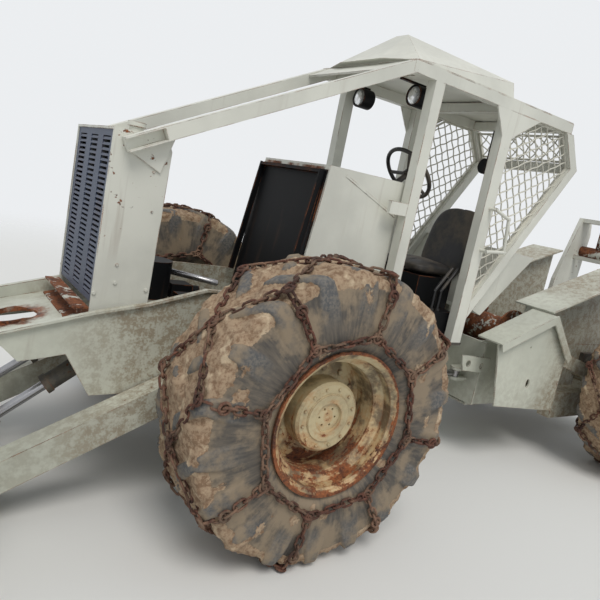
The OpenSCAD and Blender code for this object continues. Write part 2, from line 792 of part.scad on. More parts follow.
module push_frame() {
    placed() color("gainsboro") difference() {
        union() {
            both() {
                beam([arm_pin_x, arm_y, arm_pin_z], [blade_x - 40, arm_y, 70 + arm_d / 2], arm_w - 4, arm_d);
                rod_y(arm_pin_x, arm_pin_z, arm_y - arm_w / 2, arm_y + arm_w / 2, 80);
                block([blade_x - 90, arm_y - arm_w / 2 + 4, 60], [blade_x - 0.3, arm_y + arm_w / 2 - 4,
                    330]);
            }
            // cross tube with the lift eyes
            block([1290, -arm_y, 180], [1410, arm_y, 300]);
            both() for (s = [-1, 1])
                plate_xz([[lift_eye.x + 45, lift_eye.y], [lift_eye.x, lift_eye.y + 40],
                    [lift_eye.x - 40, lift_eye.y], [1291, 290], [1400, 290]],
                    lift_y + s * 34 - 8, lift_y + s * 34 + 8);
            // heads of the lift eyes' pins
            both() for (s = [-1, 1])
                rod_y(lift_eye.x, lift_eye.y, lift_y + s * 46 - 5, lift_y + s * 46 + 5, eye_r + 2);
        }
        both() rod_y(arm_pin_x, arm_pin_z, 0, 800, arm_pin_r + pin_gap);
    }
}

// Cylinders

// Barrel along X from its eye at the origin, opening at its gland
module barrel(len, bore_from) {
    difference() {
        union() {
            translate([56, 0, 0]) rotate([0, 90, 0]) cylinder(h = len - 56, r = barrel_r);
            translate([len - 30, 0, 0]) rotate([0, 90, 0]) cylinder(h = 30, r = barrel_r + 6);
            rotate([90, 0, 0]) translate([0, 0, -24]) cylinder(h = 48, r = 38);
            translate([0, -24, -30]) cube([60, 48, 60]);
        }
        translate([bore_from, 0, 0]) rotate([0, 90, 0]) cylinder(h = len, r = rod_r + pin_gap);
        rotate([90, 0, 0]) translate([0, 0, -30]) cylinder(h = 60, r = eye_r + pin_gap);
    }
}

// Rod along X whose closed eye is at reach
module rod(start, reach) {
    translate([start, 0, 0]) rotate([0, 90, 0]) cylinder(h = reach - 20 - start, r = rod_r);
    translate([reach, 0, 0]) rotate([90, 0, 0]) translate([0, 0, -22]) cylinder(h = 44, r = 34);
}

lift_v = lift_eye - lift_anchor;
lift_len = norm(lift_v);
lift_a = atan2(lift_v.y, lift_v.x);
lift_barrel_len = 560;

module at_lift() {
    both() translate([lift_anchor.x, lift_y, lift_anchor.y]) rotate([0, -lift_a, 0]) children();
}

module lift_barrels() {
    placed() color("dimgray") at_lift() barrel(lift_barrel_len, 90);
}

module lift_rods() {
    placed() color("silver") at_lift() rod(lift_len - 500, lift_len);
}

steer_z = 640;
steer_anchor = [-950, steer_y];
steer_eye = [hinge_x - 250, 310];
steer_v = steer_eye - steer_anchor;
steer_len = norm(steer_v);
steer_a = atan2(steer_v.y, steer_v.x);
steer_barrel_len = 520;

module at_steer(s) {
    translate([steer_anchor.x, s * steer_anchor.y, steer_z]) rotate([0, 0, s * steer_a]) rotate([90, 0,
        0]) children();
}

module steer_barrel_left() {
    placed() color("dimgray") at_steer(1) barrel(steer_barrel_len, 60);
}

module steer_barrel_right() {
    placed() color("dimgray") at_steer(-1) barrel(steer_barrel_len, 60);
}

module steer_rod_left() {
    placed() color("silver") at_steer(1) rod(steer_len - 560, steer_len);
}

module steer_rod_right() {
    placed() color("silver") at_steer(-1) rod(steer_len - 560, steer_len);
}

// Rear frame

wall_x = hinge_x - 350;
rear_end = rear_x - 780;

module rear_hull() {
    notch = axle_pad + 1;
    z0 = fork_low_z + fork_t + 3;
    z1 = fork_high_z - 3;
    placed() color("gainsboro") difference() {
        union() {
            // nose that swings between the forks
            translate([hinge_x, 0, z0]) cylinder(h = z1 - z0, r = 100);
            block([wall_x, -100, z0], [hinge_x, 100, z1]);
            // cross wall with the steering lugs
            block([wall_x - 24, -box_inner, 430], [wall_x, box_inner, 920]);
            both() for (z = [steer_z - 26 - 24, steer_z + 26])
                translate([0, 0, z]) linear_extrude(24) union() {
                    translate([steer_eye.x, steer_eye.y]) circle(r = 42);
                    translate([wall_x, steer_eye.y - 42]) square([steer_eye.x - wall_x, 84]);
                }
            // frame plates and floor
            both() block([rear_end, rear_half_w - plate_t, 400], [wall_x - 23, rear_half_w, 920]);
            block([rear_end, -rear_half_w, 400], [rear_x - axle_pad - 90, rear_half_w, 412]);
            block([rear_x + axle_pad + 90, -rear_half_w, 400], [wall_x - 23, rear_half_w, 412]);
            block([rear_end, -rear_half_w, 400], [rear_end + 20, rear_half_w, 920]);
            // lower rails outside the plates, and a box beam on each
            both() block([rear_x + 125, rear_half_w - 1, 420], [wall_x - 560, rear_half_w + 70, 540]);
            both() block([rear_x + 126, rear_half_w + 69, 322], [wall_x - 900, rear_half_w + 180, 539]);
            // stays that slope down behind the side boxes
            both() beam([wall_x - 815, 590, 852], [rear_x + 115, 590, 692], 24, 110);
            both() block([rear_x + 116, rear_half_w - 1, 640], [rear_x + 156, 600, 740]);
            // bolting plates at the ends of the cross wall
            both() difference() {
                plate_xz([[-1700, 830], [-1740, 712], [-2038, 686], [-2030, 808]],
                    box_inner - 1, box_inner + 11);
                for (q = [[-1788, 767], [-1945, 743]])
                    rod_y(q.x, q.y, box_inner - 10, box_inner + 20, 24);
            }
            // lug of the rear drawbar
            translate([tail_x + 70, 0, 560 - draw_t / 2]) cylinder(h = draw_t, r = 70);
            block([tail_x + 70, -70, 560 - draw_t / 2], [rear_end + 5, 70, 560 + draw_t / 2]);
        }
        block([rear_x - notch, -700, 0], [rear_x + notch, 700, axle_z + axle_pad]);
        translate([hinge_x, 0, z0 - 1]) cylinder(h = z1 - z0 + 2, r = hinge_pin_r + pin_gap);
        translate([tail_x + 70, 0, 500]) cylinder(h = 120, r = draw_r);
    }
}

// House-shaped side boxes, open in front and below: [back from the hinge, height]
house = [[230, 926], [800, 1157], [1117, 837], [1111, 430], [359, 500]];

module side_boxes() {
    pts = [for (p = house) [hinge_x - p[0], p[1]]];
    eaves = [for (i = [0 : 2]) pts[i]];
    placed() color("gainsboro") both() union() {
        difference() {
            plate_xz(concat([for (q = eaves) q + [0, 48]], [pts[3], pts[4]]),
                box_half_w - plate_t, box_half_w);
            // oval hole, a bite out of the rear edge, and a small hole
            translate([-2299, 0, 672]) scale([0.65, 1, 1])
                rod_y(0, 0, box_half_w - 140, box_half_w + 60, 34);
            rod_y(-2712, 659, box_half_w - 140, box_half_w + 60, 24);
            rod_y(-2218, 957, box_half_w - 140, box_half_w + 60, 8);
        }
        // roof sheet with a lip folded down along its outer edge
        plate_xz(strip([for (q = eaves) q + [0, 51]], plate_t), box_inner, box_half_w + 39);
        plate_xz(strip([for (q = eaves) q + [0, 28]], 60), box_half_w + 28, box_half_w + 40);
        // rear wall
        plate_xz(strip([pts[2] + [7, 47], pts[3] + [7, 2]], plate_t), box_inner + 0.3, box_half_w - 1);
    }
}

deck_low = [hinge_x - 805, 1228];
deck_high = [rear_x - 260, 1690];

module rear_deck() {
    placed() color("gainsboro") both() union() {
        plate_xz(strip([deck_low, deck_high], plate_t), 280, box_half_w - 10);
        plate_xz([[deck_low.x - 15, 920.3], [deck_low.x - 15, deck_low.y + 2],
            [deck_high.x + 10, deck_high.y - 8], [deck_high.x + 10, 920.3]], rear_half_w - plate_t,
                rear_half_w);
    }
}

winch_x = -2560;
winch_z = 930;

module winch_drum() {
    placed() color("sienna") union() {
        rod_y(winch_x, winch_z, -205, 205, drum_r);
        both() rod_y(winch_x, winch_z, 190, 205, cheek_r);
        rod_y(winch_x, winch_z, -262, 262, 40);
    }
}

module winch_frame() {
    placed() color("dimgray") difference() {
        union() {
            both() plate_xz([[winch_x - 230, 412.3], [winch_x - 230, 900], [winch_x - 100, 1060],
                [winch_x + 100, 1060], [winch_x + 230, 900], [winch_x + 230, 412.3]], 215, 300);
            block([winch_x - 229, -300, 412.3], [winch_x + 229, 300, 480]);
        }
        rod_y(winch_x, winch_z, -400, 400, 40 + pin_gap);
    }
}

// Where the arch's plates stand, along X
arch_x0 = rear_x - 300;
arch_x1 = rear_x - 700;
arch_t = 40;

module arch() {
    y = rear_half_w - arch_t + 0.5;
    placed() color("gainsboro") union() {
        both() plate_xz([[arch_x0, 920.3], [arch_x1, 920.3], [arch_x1 - 60, arch_z - 160],
            [arch_x1 - 20, arch_z], [arch_x1 + 150, arch_z], [arch_x0 - 40, 1400]],
            rear_half_w - arch_t, rear_half_w);
        block([arch_x1 + 20, -y, arch_z - 40], [arch_x1 + 140, y, arch_z]);
        block([arch_x1 + 100, -y, arch_z - 420], [arch_x1 + 140, y, arch_z - 380]);
    }
}

module fairlead_rollers() {
    y = rear_half_w - arch_t - 0.3;
    placed() color("sienna") union() {
        rod_y(arch_x1 + 20, arch_z - 330, -y, y, 55);
        both() bar([arch_x1 + 20, 150, arch_z - 275.5], [arch_x1 + 20, 150, arch_z - 40.3], 45);
    }
}

// Wheels, drawn with the outer side to positive Y about the origin

module tyre_at() {
    w = tyre_w / 2;
    casing = tyre_r - lug_h;
    // [half width, radius] from bead to crown
    side = [[w - 26, rim_seat_r + 0.3], [w - 26, rim_flange_r + 3], [w - 6, 395], [w, 470], [w - 2, 560],
        [w - 14, casing - 60], [w - 40, casing - 15], [0, casing]];
    rotate([-90, 0, 0]) {
        rotate_extrude($fn = 96) polygon(concat([for (p = side) [p[1], p[0]]],
            [for (i = [len(side) - 2 : -1 : 0]) [side[i][1], -side[i][0]]]));
        // lugs, left and right rows half a step apart, cut off at the tread
        intersection() {
            difference() {
                cylinder(h = tyre_w - 20, r = tyre_r, center = true, $fn = 96);
                cylinder(h = tyre_w, r = casing - 60, center = true, $fn = 96);
            }
            for (i = [0 : lug_n - 1], s = [-1, 1])
                rotate([0, 0, (i + (s > 0 ? 0.5 : 0)) * 360 / lug_n])
                    translate([casing - 50, 0, s * (w - 24)]) rotate([s * 38, 0, 0])
                        translate([0, -lug_w / 2, s > 0 ? -w * 1.1 : 0])
                            cube([lug_h + 90, lug_w, w * 1.1]);
        }
    }
}

module rim_at() {
    w = tyre_w / 2;
    t = rim_wall;
    well = rim_seat_r - 42;
    d0 = disc_out - t;
    rotate([-90, 0, 0]) difference() {
        union() {
            // flange, seat and well as one rolled section
            rotate_extrude($fn = 96) polygon([[rim_flange_r, w - 24], [rim_flange_r, w - 10],
                [rim_flange_r - 14, w - 10],
                [rim_seat_r - t, w - 30], [rim_seat_r - t, w - 80], [well - t, w - 110], [well - t,
                    -w + 110],
                [rim_seat_r - t, -w + 80], [rim_seat_r - t, -w + 30], [rim_flange_r - 14, -w + 10],
                [rim_flange_r, -w + 10], [rim_flange_r, -w + 24], [rim_seat_r, -w + 24], [rim_seat_r,
                    -w + 84],
                [well, -w + 114], [well, w - 114], [rim_seat_r, w - 84], [rim_seat_r, w - 24]]);
            // dished disc and hub cover
            rotate_extrude($fn = 96) polygon([[spindle_r + 2, d0 - 40], [120, d0 - 40], [130, d0],
                [well - t + 1, d0 - 20],
                [well - t + 1, d0 - 20 + t], [hub_r + 30, disc_out], [hub_r, disc_out], [hub_r,
                    disc_out + hub_len - 12],
                [hub_r - 12, disc_out + hub_len], [120, disc_out + hub_len], [116, disc_out + hub_len + 8],
                [74, disc_out + hub_len + 8], [70, disc_out + hub_len - 6], [0, disc_out + hub_len - 6],
                [0, disc_out + 80], [spindle_r + 2, disc_out + 80]]);
            translate([0, 0, -60]) cylinder(h = 120, r = spindle_r + 30);
        }
        translate([0, 0, -200]) cylinder(h = 200 + disc_out + 90, r = spindle_r);
        for (i = [0 : 5]) rotate([0, 0, i * 60]) translate([45, 0,
            disc_out + hub_len - 20]) cylinder(h = 40, r = 6);
    }
}

// Net of chain: nodes on the ring, the shoulders and the tread
function ring(a, r, y) = [r * cos(a), y, r * sin(a)];

module chain_run(p, q) {
    bar(p, q, chain_d / 2, 6);
}

module chain_at() {
    w = tyre_w / 2;
    step = 360 / chain_n;
    edge = w - 44;
    out = w + chain_d / 2;
    for (k = [0 : chain_n - 1], s = [-1, 1]) {
        a = 270 + flat_a + k * step;
        tread = ring(a, chain_r, s * edge);
        shoulder = ring(a, tyre_r - 90, s * out);
        inner = ring(a, chain_ring_r, s * out);
        chain_run(inner, ring(a + step, chain_ring_r, s * out));
        chain_run(inner, shoulder);
        chain_run(shoulder, tread);
        chain_run(tread, ring(a + step / 2, chain_r, 0));
        chain_run(tread, ring(a - step / 2, chain_r, 0));
        for (p = [tread, shoulder, inner, ring(a + step / 2, chain_r, 0)])
            translate(p) rotate([0, -atan2(p.z, p.x), 0]) cube(2 * link_h, center = true);
    }
}

// Each wheel at its corner: x along the machine and the side it is on
module at_wheel(x, s) {
    placed() translate([x, s * track / 2, axle_z]) mirror([0, s < 0 ? 1 : 0, 0]) children();
}

module tyre_front_left() { color("dimgray") at_wheel(0, 1) tyre_at(); }
module tyre_front_right() { color("dimgray") at_wheel(0, -1) tyre_at(); }
module tyre_rear_left() { color("dimgray") at_wheel(rear_x, 1) tyre_at(); }
module tyre_rear_right() { color("dimgray") at_wheel(rear_x, -1) tyre_at(); }
module rim_front_left() { color("khaki") at_wheel(0, 1) rim_at(); }
module rim_front_right() { color("khaki") at_wheel(0, -1) rim_at(); }
module rim_rear_left() { color("khaki") at_wheel(rear_x, 1) rim_at(); }
module rim_rear_right() { color("khaki") at_wheel(rear_x, -1) rim_at(); }
module chain_front_left() { color("saddlebrown") at_wheel(0, 1) chain_at(); }
module chain_front_right() { color("saddlebrown") at_wheel(0, -1) chain_at(); }
module chain_rear_left() { color("saddlebrown") at_wheel(rear_x, 1) chain_at(); }
module chain_rear_right() { color("saddlebrown") at_wheel(rear_x, -1) chain_at(); }

front_hull();
foot_channel();
radiator_guard();
radiator_grille();
guard_cap();
bay_cylinder();
bulkhead();
cowl();
steering_wheel();
cab_floor();
canopy_rails();
canopy_roof();
cab_posts();
rear_guard();
side_screen_left();
side_screen_right();
rear_screen();
grab_handle();
headlamps();
seat_base();
seat_cushion();
seat_backrest();
control_levers();
rear_tank();
front_axle();
transmission();
hinge_pins();
arm_pins();
blade();
push_frame();
lift_barrels();
lift_rods();
steer_barrel_left();
steer_barrel_right();
steer_rod_left();
steer_rod_right();
rear_hull();
side_boxes();
rear_deck();
winch_drum();
winch_frame();
arch();
fairlead_rollers();
rear_axle();
tyre_front_left();
tyre_front_right();
tyre_rear_left();
tyre_rear_right();
rim_front_left();
rim_front_right();
rim_rear_left();
rim_rear_right();
chain_front_left();
chain_front_right();
chain_rear_left();
chain_rear_right();
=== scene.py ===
"""Dresses the packed skidder: worn paint, muddy tyres, chain nets, screens, grille, seat and fasteners."""
import itertools
import math

import bpy
import numpy as np
from mathutils import Matrix, Vector


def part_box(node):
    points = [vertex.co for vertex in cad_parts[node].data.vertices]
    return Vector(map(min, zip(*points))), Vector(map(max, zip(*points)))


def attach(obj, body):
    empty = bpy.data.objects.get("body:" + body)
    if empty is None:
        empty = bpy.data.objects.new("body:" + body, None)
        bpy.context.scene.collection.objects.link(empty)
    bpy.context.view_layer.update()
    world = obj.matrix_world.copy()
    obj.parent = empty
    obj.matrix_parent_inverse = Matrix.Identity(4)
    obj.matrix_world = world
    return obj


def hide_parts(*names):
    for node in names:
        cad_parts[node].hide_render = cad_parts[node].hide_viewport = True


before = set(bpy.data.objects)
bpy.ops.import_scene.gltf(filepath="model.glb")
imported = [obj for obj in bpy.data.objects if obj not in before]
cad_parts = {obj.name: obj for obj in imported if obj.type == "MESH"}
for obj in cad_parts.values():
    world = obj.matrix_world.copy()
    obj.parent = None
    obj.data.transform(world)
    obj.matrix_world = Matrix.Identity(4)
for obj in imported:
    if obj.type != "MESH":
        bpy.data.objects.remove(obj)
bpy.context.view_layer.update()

bl_info = {
    "name": "Cable skidder",
    "version": (1, 0, 0),
    "blender": (4, 5, 0),
    "location": "View3D > Sidebar > Skidder",
    "description": "Surfaces and finishes of a worn articulated forest tractor",
    "category": "Object",
}

# In metres: the front axle ahead of the machine's middle, the axles apart, and a wheel off the middle line
SHIFT = 1.33
WHEELBASE = 3.5
HALF_TRACK = 1.0
# How far the rear screen leans from upright, in degrees
LEAN = 33.6
# Each wheel's place along the machine, from the front axle, and its side
CORNERS = {"front_left": (0.0, 1), "front_right": (0.0, -1),
           "rear_left": (-WHEELBASE, 1), "rear_right": (-WHEELBASE, -1)}
AXLE_Z = (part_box("rim_front_left")[0][2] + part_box("rim_front_left")[1][2]) / 2
# Keeps the finishes apart from the materials that come with the CAD nodes
PREFIX = "worn_"


def placed(mm):
    """Millimetres from the front axle as metres in the packed frame: a thousandth, moved along X by SHIFT."""
    return np.asarray(mm, float) / 1000 + np.array([SHIFT, 0, 0])


def cad_points(node):
    """The corners of a CAD node's mesh in the packed frame."""
    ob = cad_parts[node]
    co = np.empty(len(ob.data.vertices) * 3, np.float32)
    ob.data.vertices.foreach_get("co", co)
    m = np.array(ob.matrix_world)
    return co.reshape(-1, 3) @ m[:3, :3].T + m[:3, 3]


def hull_of(points, least=0.02):
    """The convex outline of flat points, clockwise, less the corners nearer than least to the one before."""
    pts = np.unique(np.round(points, 4), axis=0)
    chain = []
    for run in (pts, pts[::-1]):
        part = []
        for q in run:
            while len(part) > 1 and np.cross(part[-1] - part[-2], q - part[-1]) >= -1e-9:
                part.pop()
            part.append(q)
        chain += part[:-1]
    kept = [q for k, q in enumerate(chain) if np.linalg.norm(q - chain[k - 1]) > least]
    return np.array(kept)


def linear(rgb):
    """A colour as the eye reads it made linear: c / 12.92 below 0.04045, else ((c + 0.055) / 1.055) ** 2.4."""
    return tuple(c / 12.92 if c < 0.04045 else ((c + 0.055) / 1.055) ** 2.4 for c in rgb[:3]) + (1.0,)


# Sizes and colours that a user may change

def colour(label, says, value):
    """A colour as the eye reads it."""
    return bpy.props.FloatVectorProperty(name=label, description=says, default=value, size=3, min=0, max=1,
                                         subtype="COLOR_GAMMA")


def amount(label, says, value, low, high, **kind):
    """A number."""
    return bpy.props.FloatProperty(name=label, description=says, default=value, min=low, max=high, **kind)


def metres(label, says, value, low, high):
    """A length in metres."""
    return amount(label, says, value, low, high, unit="LENGTH")


def count(label, says, value, low, high):
    """A whole number of copies."""
    return bpy.props.IntProperty(name=label, description=says, default=value, min=low, max=high)


class SkidderFinish(bpy.types.PropertyGroup):
    """Colours and wear of the paint and the steel"""
    body: colour("Body paint", "Old off-white paint on the panels", (0.80, 0.80, 0.76))
    grille: colour("Grille paint", "Slate paint of the slotted grille", (0.24, 0.28, 0.36))
    black: colour("Black paint", "Paint of the bulkhead, the seat box and the lamps", (0.055, 0.058, 0.065))
    rim: colour("Rim paint", "Cream paint of the wheels", (0.78, 0.72, 0.57))
    screen: colour("Screen paint", "Grey-white paint of the crimped wire", (0.80, 0.79, 0.74))
    rust_dark: colour("Dark rust", "Old rust", (0.27, 0.16, 0.12))
    rust_light: colour("Light rust", "Fresh orange rust", (0.60, 0.36, 0.21))
    chain: colour("Chain rust", "Dull red-brown of the chains", (0.43, 0.27, 0.21))
    mud: colour("Dried mud", "Mud packed in the tread", (0.66, 0.57, 0.47))
    rubber: colour("Rubber", "Dark streaks of the weathered rubber", (0.25, 0.24, 0.23))
    wear: amount("Wear", "How much of the paint is chipped", 0.5, 0, 1, subtype="FACTOR")


class SkidderWheels(bpy.types.PropertyGroup):
    """Sizes of the tyres and the chain nets"""
    lugs: count("Lugs", "Lugs on each side of the tread", 18, 12, 24)
    lug_width: metres("Lug width", "Width of a lug", 0.062, 0.03, 0.09)
    link_pitch: metres("Link pitch", "Length that a chain link adds to its run", 0.050, 0.03, 0.09)
    link_wire: metres("Link wire", "Thickness of a link's wire", 0.0125, 0.006, 0.02)


class SkidderScreens(bpy.types.PropertyGroup):
    """Sizes of the cab's wire screens and the grille"""
    pitch: metres("Pitch", "Distance between the wires", 0.066, 0.04, 0.1)
    wire: metres("Wire", "Thickness of the wire", 0.0105, 0.004, 0.012)
    crimp: metres("Crimp", "Height of the wire's waves", 0.006, 0, 0.012)
    grille_columns: count("Grille columns", "Columns of slots across the grille", 3, 1, 12)
    grille_slots: count("Grille slots", "Slots one above another in a column", 30, 4, 60)
    grille_slot: metres("Slot width", "Width of a slot in the grille", 0.125, 0.02, 0.2)


class SkidderStage(bpy.types.PropertyGroup):
    """Light and floor"""
    sky: amount("Sky", "Strength of the light from all round", 0.62, 0, 2)
    lamp: amount("Lamp", "Strength of the soft overhead lamp", 1.6, 0, 5)
    lens: amount("Lens", "Focal length in millimetres on a 36 mm sensor", 35.506, 20, 80)


# Surfaces

def grid_faces(nu, nv, wrap_u=False, wrap_v=False):
    """Quads (i, j), (i + 1, j), (i + 1, j + 1), (i, j + 1) of a grid of points, wrapped where asked."""
    rows, columns = np.arange(nu if wrap_u else nu - 1), np.arange(nv if wrap_v else nv - 1)
    i, j = (a.ravel() for a in np.meshgrid(rows, columns, indexing="ij"))
    k, m = (i + 1) % nu, (j + 1) % nv
    return np.stack([i * nv + j, k * nv + j, k * nv + m, i * nv + m], 1)


def piece(name, points, faces, body, finish, replaces=(), uv=None, masks=None, smooth=True):
    """Makes one object of points and a list of face arrays, in the named finish, that rides on its body."""
    points = np.asarray(points, np.float32).reshape(-1, 3)
    me = bpy.data.meshes.new(name)
    me.vertices.add(len(points))
    me.vertices.foreach_set("co", points.ravel())
    loops = np.concatenate([b.ravel() for b in faces]).astype(np.int32)
    sizes = np.concatenate([np.full(len(b), b.shape[1]) for b in faces]).astype(np.int32)
    me.loops.add(len(loops))
    me.loops.foreach_set("vertex_index", loops)
    me.polygons.add(len(sizes))
    me.polygons.foreach_set("loop_start", np.concatenate([[0], np.cumsum(sizes)[:-1]]).astype(np.int32))
    me.polygons.foreach_set("use_smooth", np.full(len(sizes), smooth))
    if uv is not None:
        layer = me.uv_layers.new(name="UVMap")
        layer.data.foreach_set("uv", np.asarray(uv, np.float32).reshape(-1, 2)[loops].ravel())
    for key, values in (masks or {}).items():
        mask = me.attributes.new(key, "FLOAT", "POINT")
        mask.data.foreach_set("value", np.asarray(values, np.float32).ravel())
    me.update(calc_edges=True)
    me.validate()
    me.materials.append(finishes()[finish])
    ob = bpy.data.objects.new(name, me)
    bpy.context.scene.collection.objects.link(ob)
    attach(ob, body)
    if replaces:
        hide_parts(*replaces)
    return ob


def lattice(p, seed):
    """Smooth noise from 0 to 1: random values at whole numbers, mixed by f * f * (3 - 2 * f) between them."""
    i = np.floor(p).astype(np.int64)
    f = p - i
    f = f * f * (3 - 2 * f)
    total = 0
    for corner in itertools.product((0, 1), repeat=3):
        h = seed * 2654435
        for axis, prime in enumerate((73856093, 19349663, 83492791)):
            h = h ^ (i[..., axis] + corner[axis]) * prime
        h = (h ^ (h >> 13)) * 1274126177 & 0x7FFFFFFF
        w = np.prod(np.abs(1 - np.array(corner) - f), axis=-1)
        total = total + w * ((h ^ (h >> 16)) % 65536) / 65535
    return total


def cloudy(p, scale, seed, layers=4):
    """Noise in layers, each twice as fine and half as strong, brought back to a range of 0 to 1."""
    total = sum(lattice(p * scale * 2 ** k, seed + k) / 2 ** k for k in range(layers))
    return total / sum(1 / 2 ** k for k in range(layers))


def step(a, b, x):
    """0 below a, 1 above b and t * t * (3 - 2 * t) between."""
    t = np.clip((x - a) / (b - a), 0, 1)
    return t * t * (3 - 2 * t)


def unit(v):
    """Vectors made one long."""
    return v / np.maximum(np.linalg.norm(v, axis=-1, keepdims=True), 1e-9)


def angles(n):
    """Even steps round a circle, in radians."""
    return np.arange(n) * 2 * np.pi / n


def tubes(paths, radius, sides=6, up=(0, 0, 1)):
    """Round tubes along paths [k, n, 3]: each point plus radius times cos a across and sin a over the path."""
    paths = np.asarray(paths, float)
    k, n = paths.shape[:2]
    along = unit(np.gradient(paths, axis=1))
    across = unit(np.cross(along, np.asarray(up, float)))
    over = np.cross(across, along)
    a = angles(sides)
    r = np.broadcast_to(np.asarray(radius, float), (k, n))[..., None, None]
    cos, sin = np.cos(a)[:, None], np.sin(a)[:, None]
    p = paths[:, :, None] + r * (cos * across[:, :, None] + sin * over[:, :, None])
    first = np.arange(k)[:, None] * n * sides
    faces = (grid_faces(n, sides, wrap_v=True)[None] + first[:, None]).reshape(-1, 4)
    ring = np.arange(sides)[None]
    caps = np.concatenate([ring[:, ::-1] + first, ring + (n - 1) * sides + first])
    return p.reshape(-1, 3), [faces[:, ::-1], caps[:, ::-1]]


def repeated(points, faces, places):
    """A shape [n, 3] set down at every place, a [k, 3, 4] array of turns and positions: R p + t."""
    places = np.asarray(places, float)
    p = np.einsum("kij,nj->kni", places[:, :, :3], points) + places[:, None, :, 3]
    k = np.arange(len(places))[:, None, None] * len(points)
    return p.reshape(-1, 3), [(b[None] + k).reshape(-1, b.shape[1]) for b in faces]


def facing(faces, side):
    """Faces turned over on the right side, where the points are mirrored."""
    return faces if side > 0 else [b[:, ::-1] for b in faces]


def hub_of(x, side):
    """The middle of a wheel's hub from its place along the machine and its side."""
    return np.array([x + SHIFT, side * HALF_TRACK, AXLE_Z])


def joined(parts):
    """Several (points, faces) put together as one."""
    points, faces, base = [], [], 0
    for p, f in parts:
        points.append(p)
        faces += [b + base for b in f]
        base += len(p)
    return np.concatenate(points), faces


def frames(at, along, side):
    """Places [k, 3, 4] of axes and positions, whose first axis runs along and whose third leans to side."""
    at = np.atleast_2d(at)
    x = unit(np.broadcast_to(np.asarray(along, float), at.shape))
    z = np.broadcast_to(np.asarray(side, float), at.shape)
    z = unit(z - x * np.sum(x * z, -1, keepdims=True))
    return np.stack([x, np.cross(z, x), z, at], -1)


def turned(profile, sides):
    """A profile [n, 2] of (distance, radius) carried round the first axis, closed by its zero radii."""
    a = angles(sides)
    pr = np.asarray(profile, float)
    along, radius = np.broadcast_to(pr[:, :1], (len(pr), sides)), pr[:, 1:]
    p = np.stack([along, radius * np.cos(a), radius * np.sin(a)], -1)
    return p.reshape(-1, 3), [grid_faces(len(pr), sides, wrap_v=True)]


def hex_bolt(size):
    """A washer with a chamfered six-sided head on it, standing along the first axis."""
    washer = np.array([[0, 0], [0, 1.15], [0.18, 1.15], [0.2, 0]])
    head = np.array([[0.18, 0], [0.18, 0.95], [0.72, 0.95], [0.85, 0.78], [0.85, 0]])
    return joined([turned(washer * size, 12), turned(head * size, 6)])


# Finishes

def lit(rgba, by):
    """A linear colour made lighter or darker."""
    return tuple(min(1, v * by) for v in rgba[:3]) + (1,)


class Value:
    """What a node gives out. Sums and products of such values are written as with numbers."""

    def __init__(self, socket):
        self.socket, self.tree = socket, socket.id_data

    def __add__(self, other):
        return maths("ADD", self, other)

    def __sub__(self, other):
        return maths("SUBTRACT", self, other)

    def __rsub__(self, other):
        return maths("SUBTRACT", other, self)

    def __mul__(self, other):
        return maths("MULTIPLY", self, other)

    def __truediv__(self, other):
        return maths("DIVIDE", self, other)


def fed(tree, node, inputs):
    """Feeds each named input of a node from another node's value or a plain one."""
    for key, value in inputs.items():
        if isinstance(value, Value):
            tree.links.new(value.socket, node.inputs[key])
        else:
            node.inputs[key].default_value = value
    return node


def made_by(tree, kind, inputs, output=0, **settings):
    """Adds a node of that kind with its settings and inputs, and returns one of its outputs."""
    node = tree.nodes.new(kind)
    for key, value in settings.items():
        setattr(node, key, value)
    return Value(fed(tree, node, inputs).outputs[output])


def maths(operation, a, b=0.0, clamp=False):
    """One sum on values."""
    tree = a.tree if isinstance(a, Value) else b.tree
    return made_by(tree, "ShaderNodeMath", {0: a, 1: b}, operation=operation, use_clamp=clamp)


def here(tree):
    """The point's own coordinates: metres of the packed frame at rest."""
    return made_by(tree, "ShaderNodeTexCoord", {}, "Object")


def axes_of(vector):
    """The three parts of a vector."""
    node = vector.tree.nodes.new("ShaderNodeSeparateXYZ")
    return [Value(socket) for socket in fed(vector.tree, node, {0: vector}).outputs]


def scaled(vector, factors):
    """A vector with its three parts multiplied by three factors."""
    return made_by(vector.tree, "ShaderNodeVectorMath", {0: vector, 1: factors}, operation="MULTIPLY")


def spread(value, low, high, to_low=0.0, to_high=1.0):
    """A value spread smoothly from low..high to its new range."""
    return made_by(value.tree, "ShaderNodeMapRange",
                   {"Value": value, "From Min": low, "From Max": high, "To Min": to_low, "To Max": to_high},
                   interpolation_type="SMOOTHSTEP")


def blended(factor, a, b):
    """Colour a turned into colour b by a factor."""
    return made_by(factor.tree, "ShaderNodeMix", {0: factor, 6: a, 7: b}, 2, data_type="RGBA")


def noise(vector, scale, detail=4.0, rough=0.55):
    """Noise at a scale, as a value."""
    return made_by(vector.tree, "ShaderNodeTexNoise",
                   {"Vector": vector, "Scale": scale, "Detail": detail, "Roughness": rough}, "Fac")


def bump(height, strength, distance):
    """The surface normal bent by a height."""
    return made_by(height.tree, "ShaderNodeBump",
                   {"Height": height, "Strength": strength, "Distance": distance}, "Normal")


def effect(name, inputs, outputs, build):
    """A shader node group, built once by a function of its tree and inputs that returns its outputs."""
    if name in bpy.data.node_groups:
        return bpy.data.node_groups[name]
    g = bpy.data.node_groups.new(name, "ShaderNodeTree")
    for key, kind, value in inputs:
        g.interface.new_socket(key, in_out="INPUT", socket_type=kind).default_value = value
    for key, kind in outputs:
        g.interface.new_socket(key, in_out="OUTPUT", socket_type=kind)
    given, result = g.nodes.new("NodeGroupInput"), g.nodes.new("NodeGroupOutput")
    fed(g, result, build(g, {socket.name: Value(socket) for socket in given.outputs}))
    return g


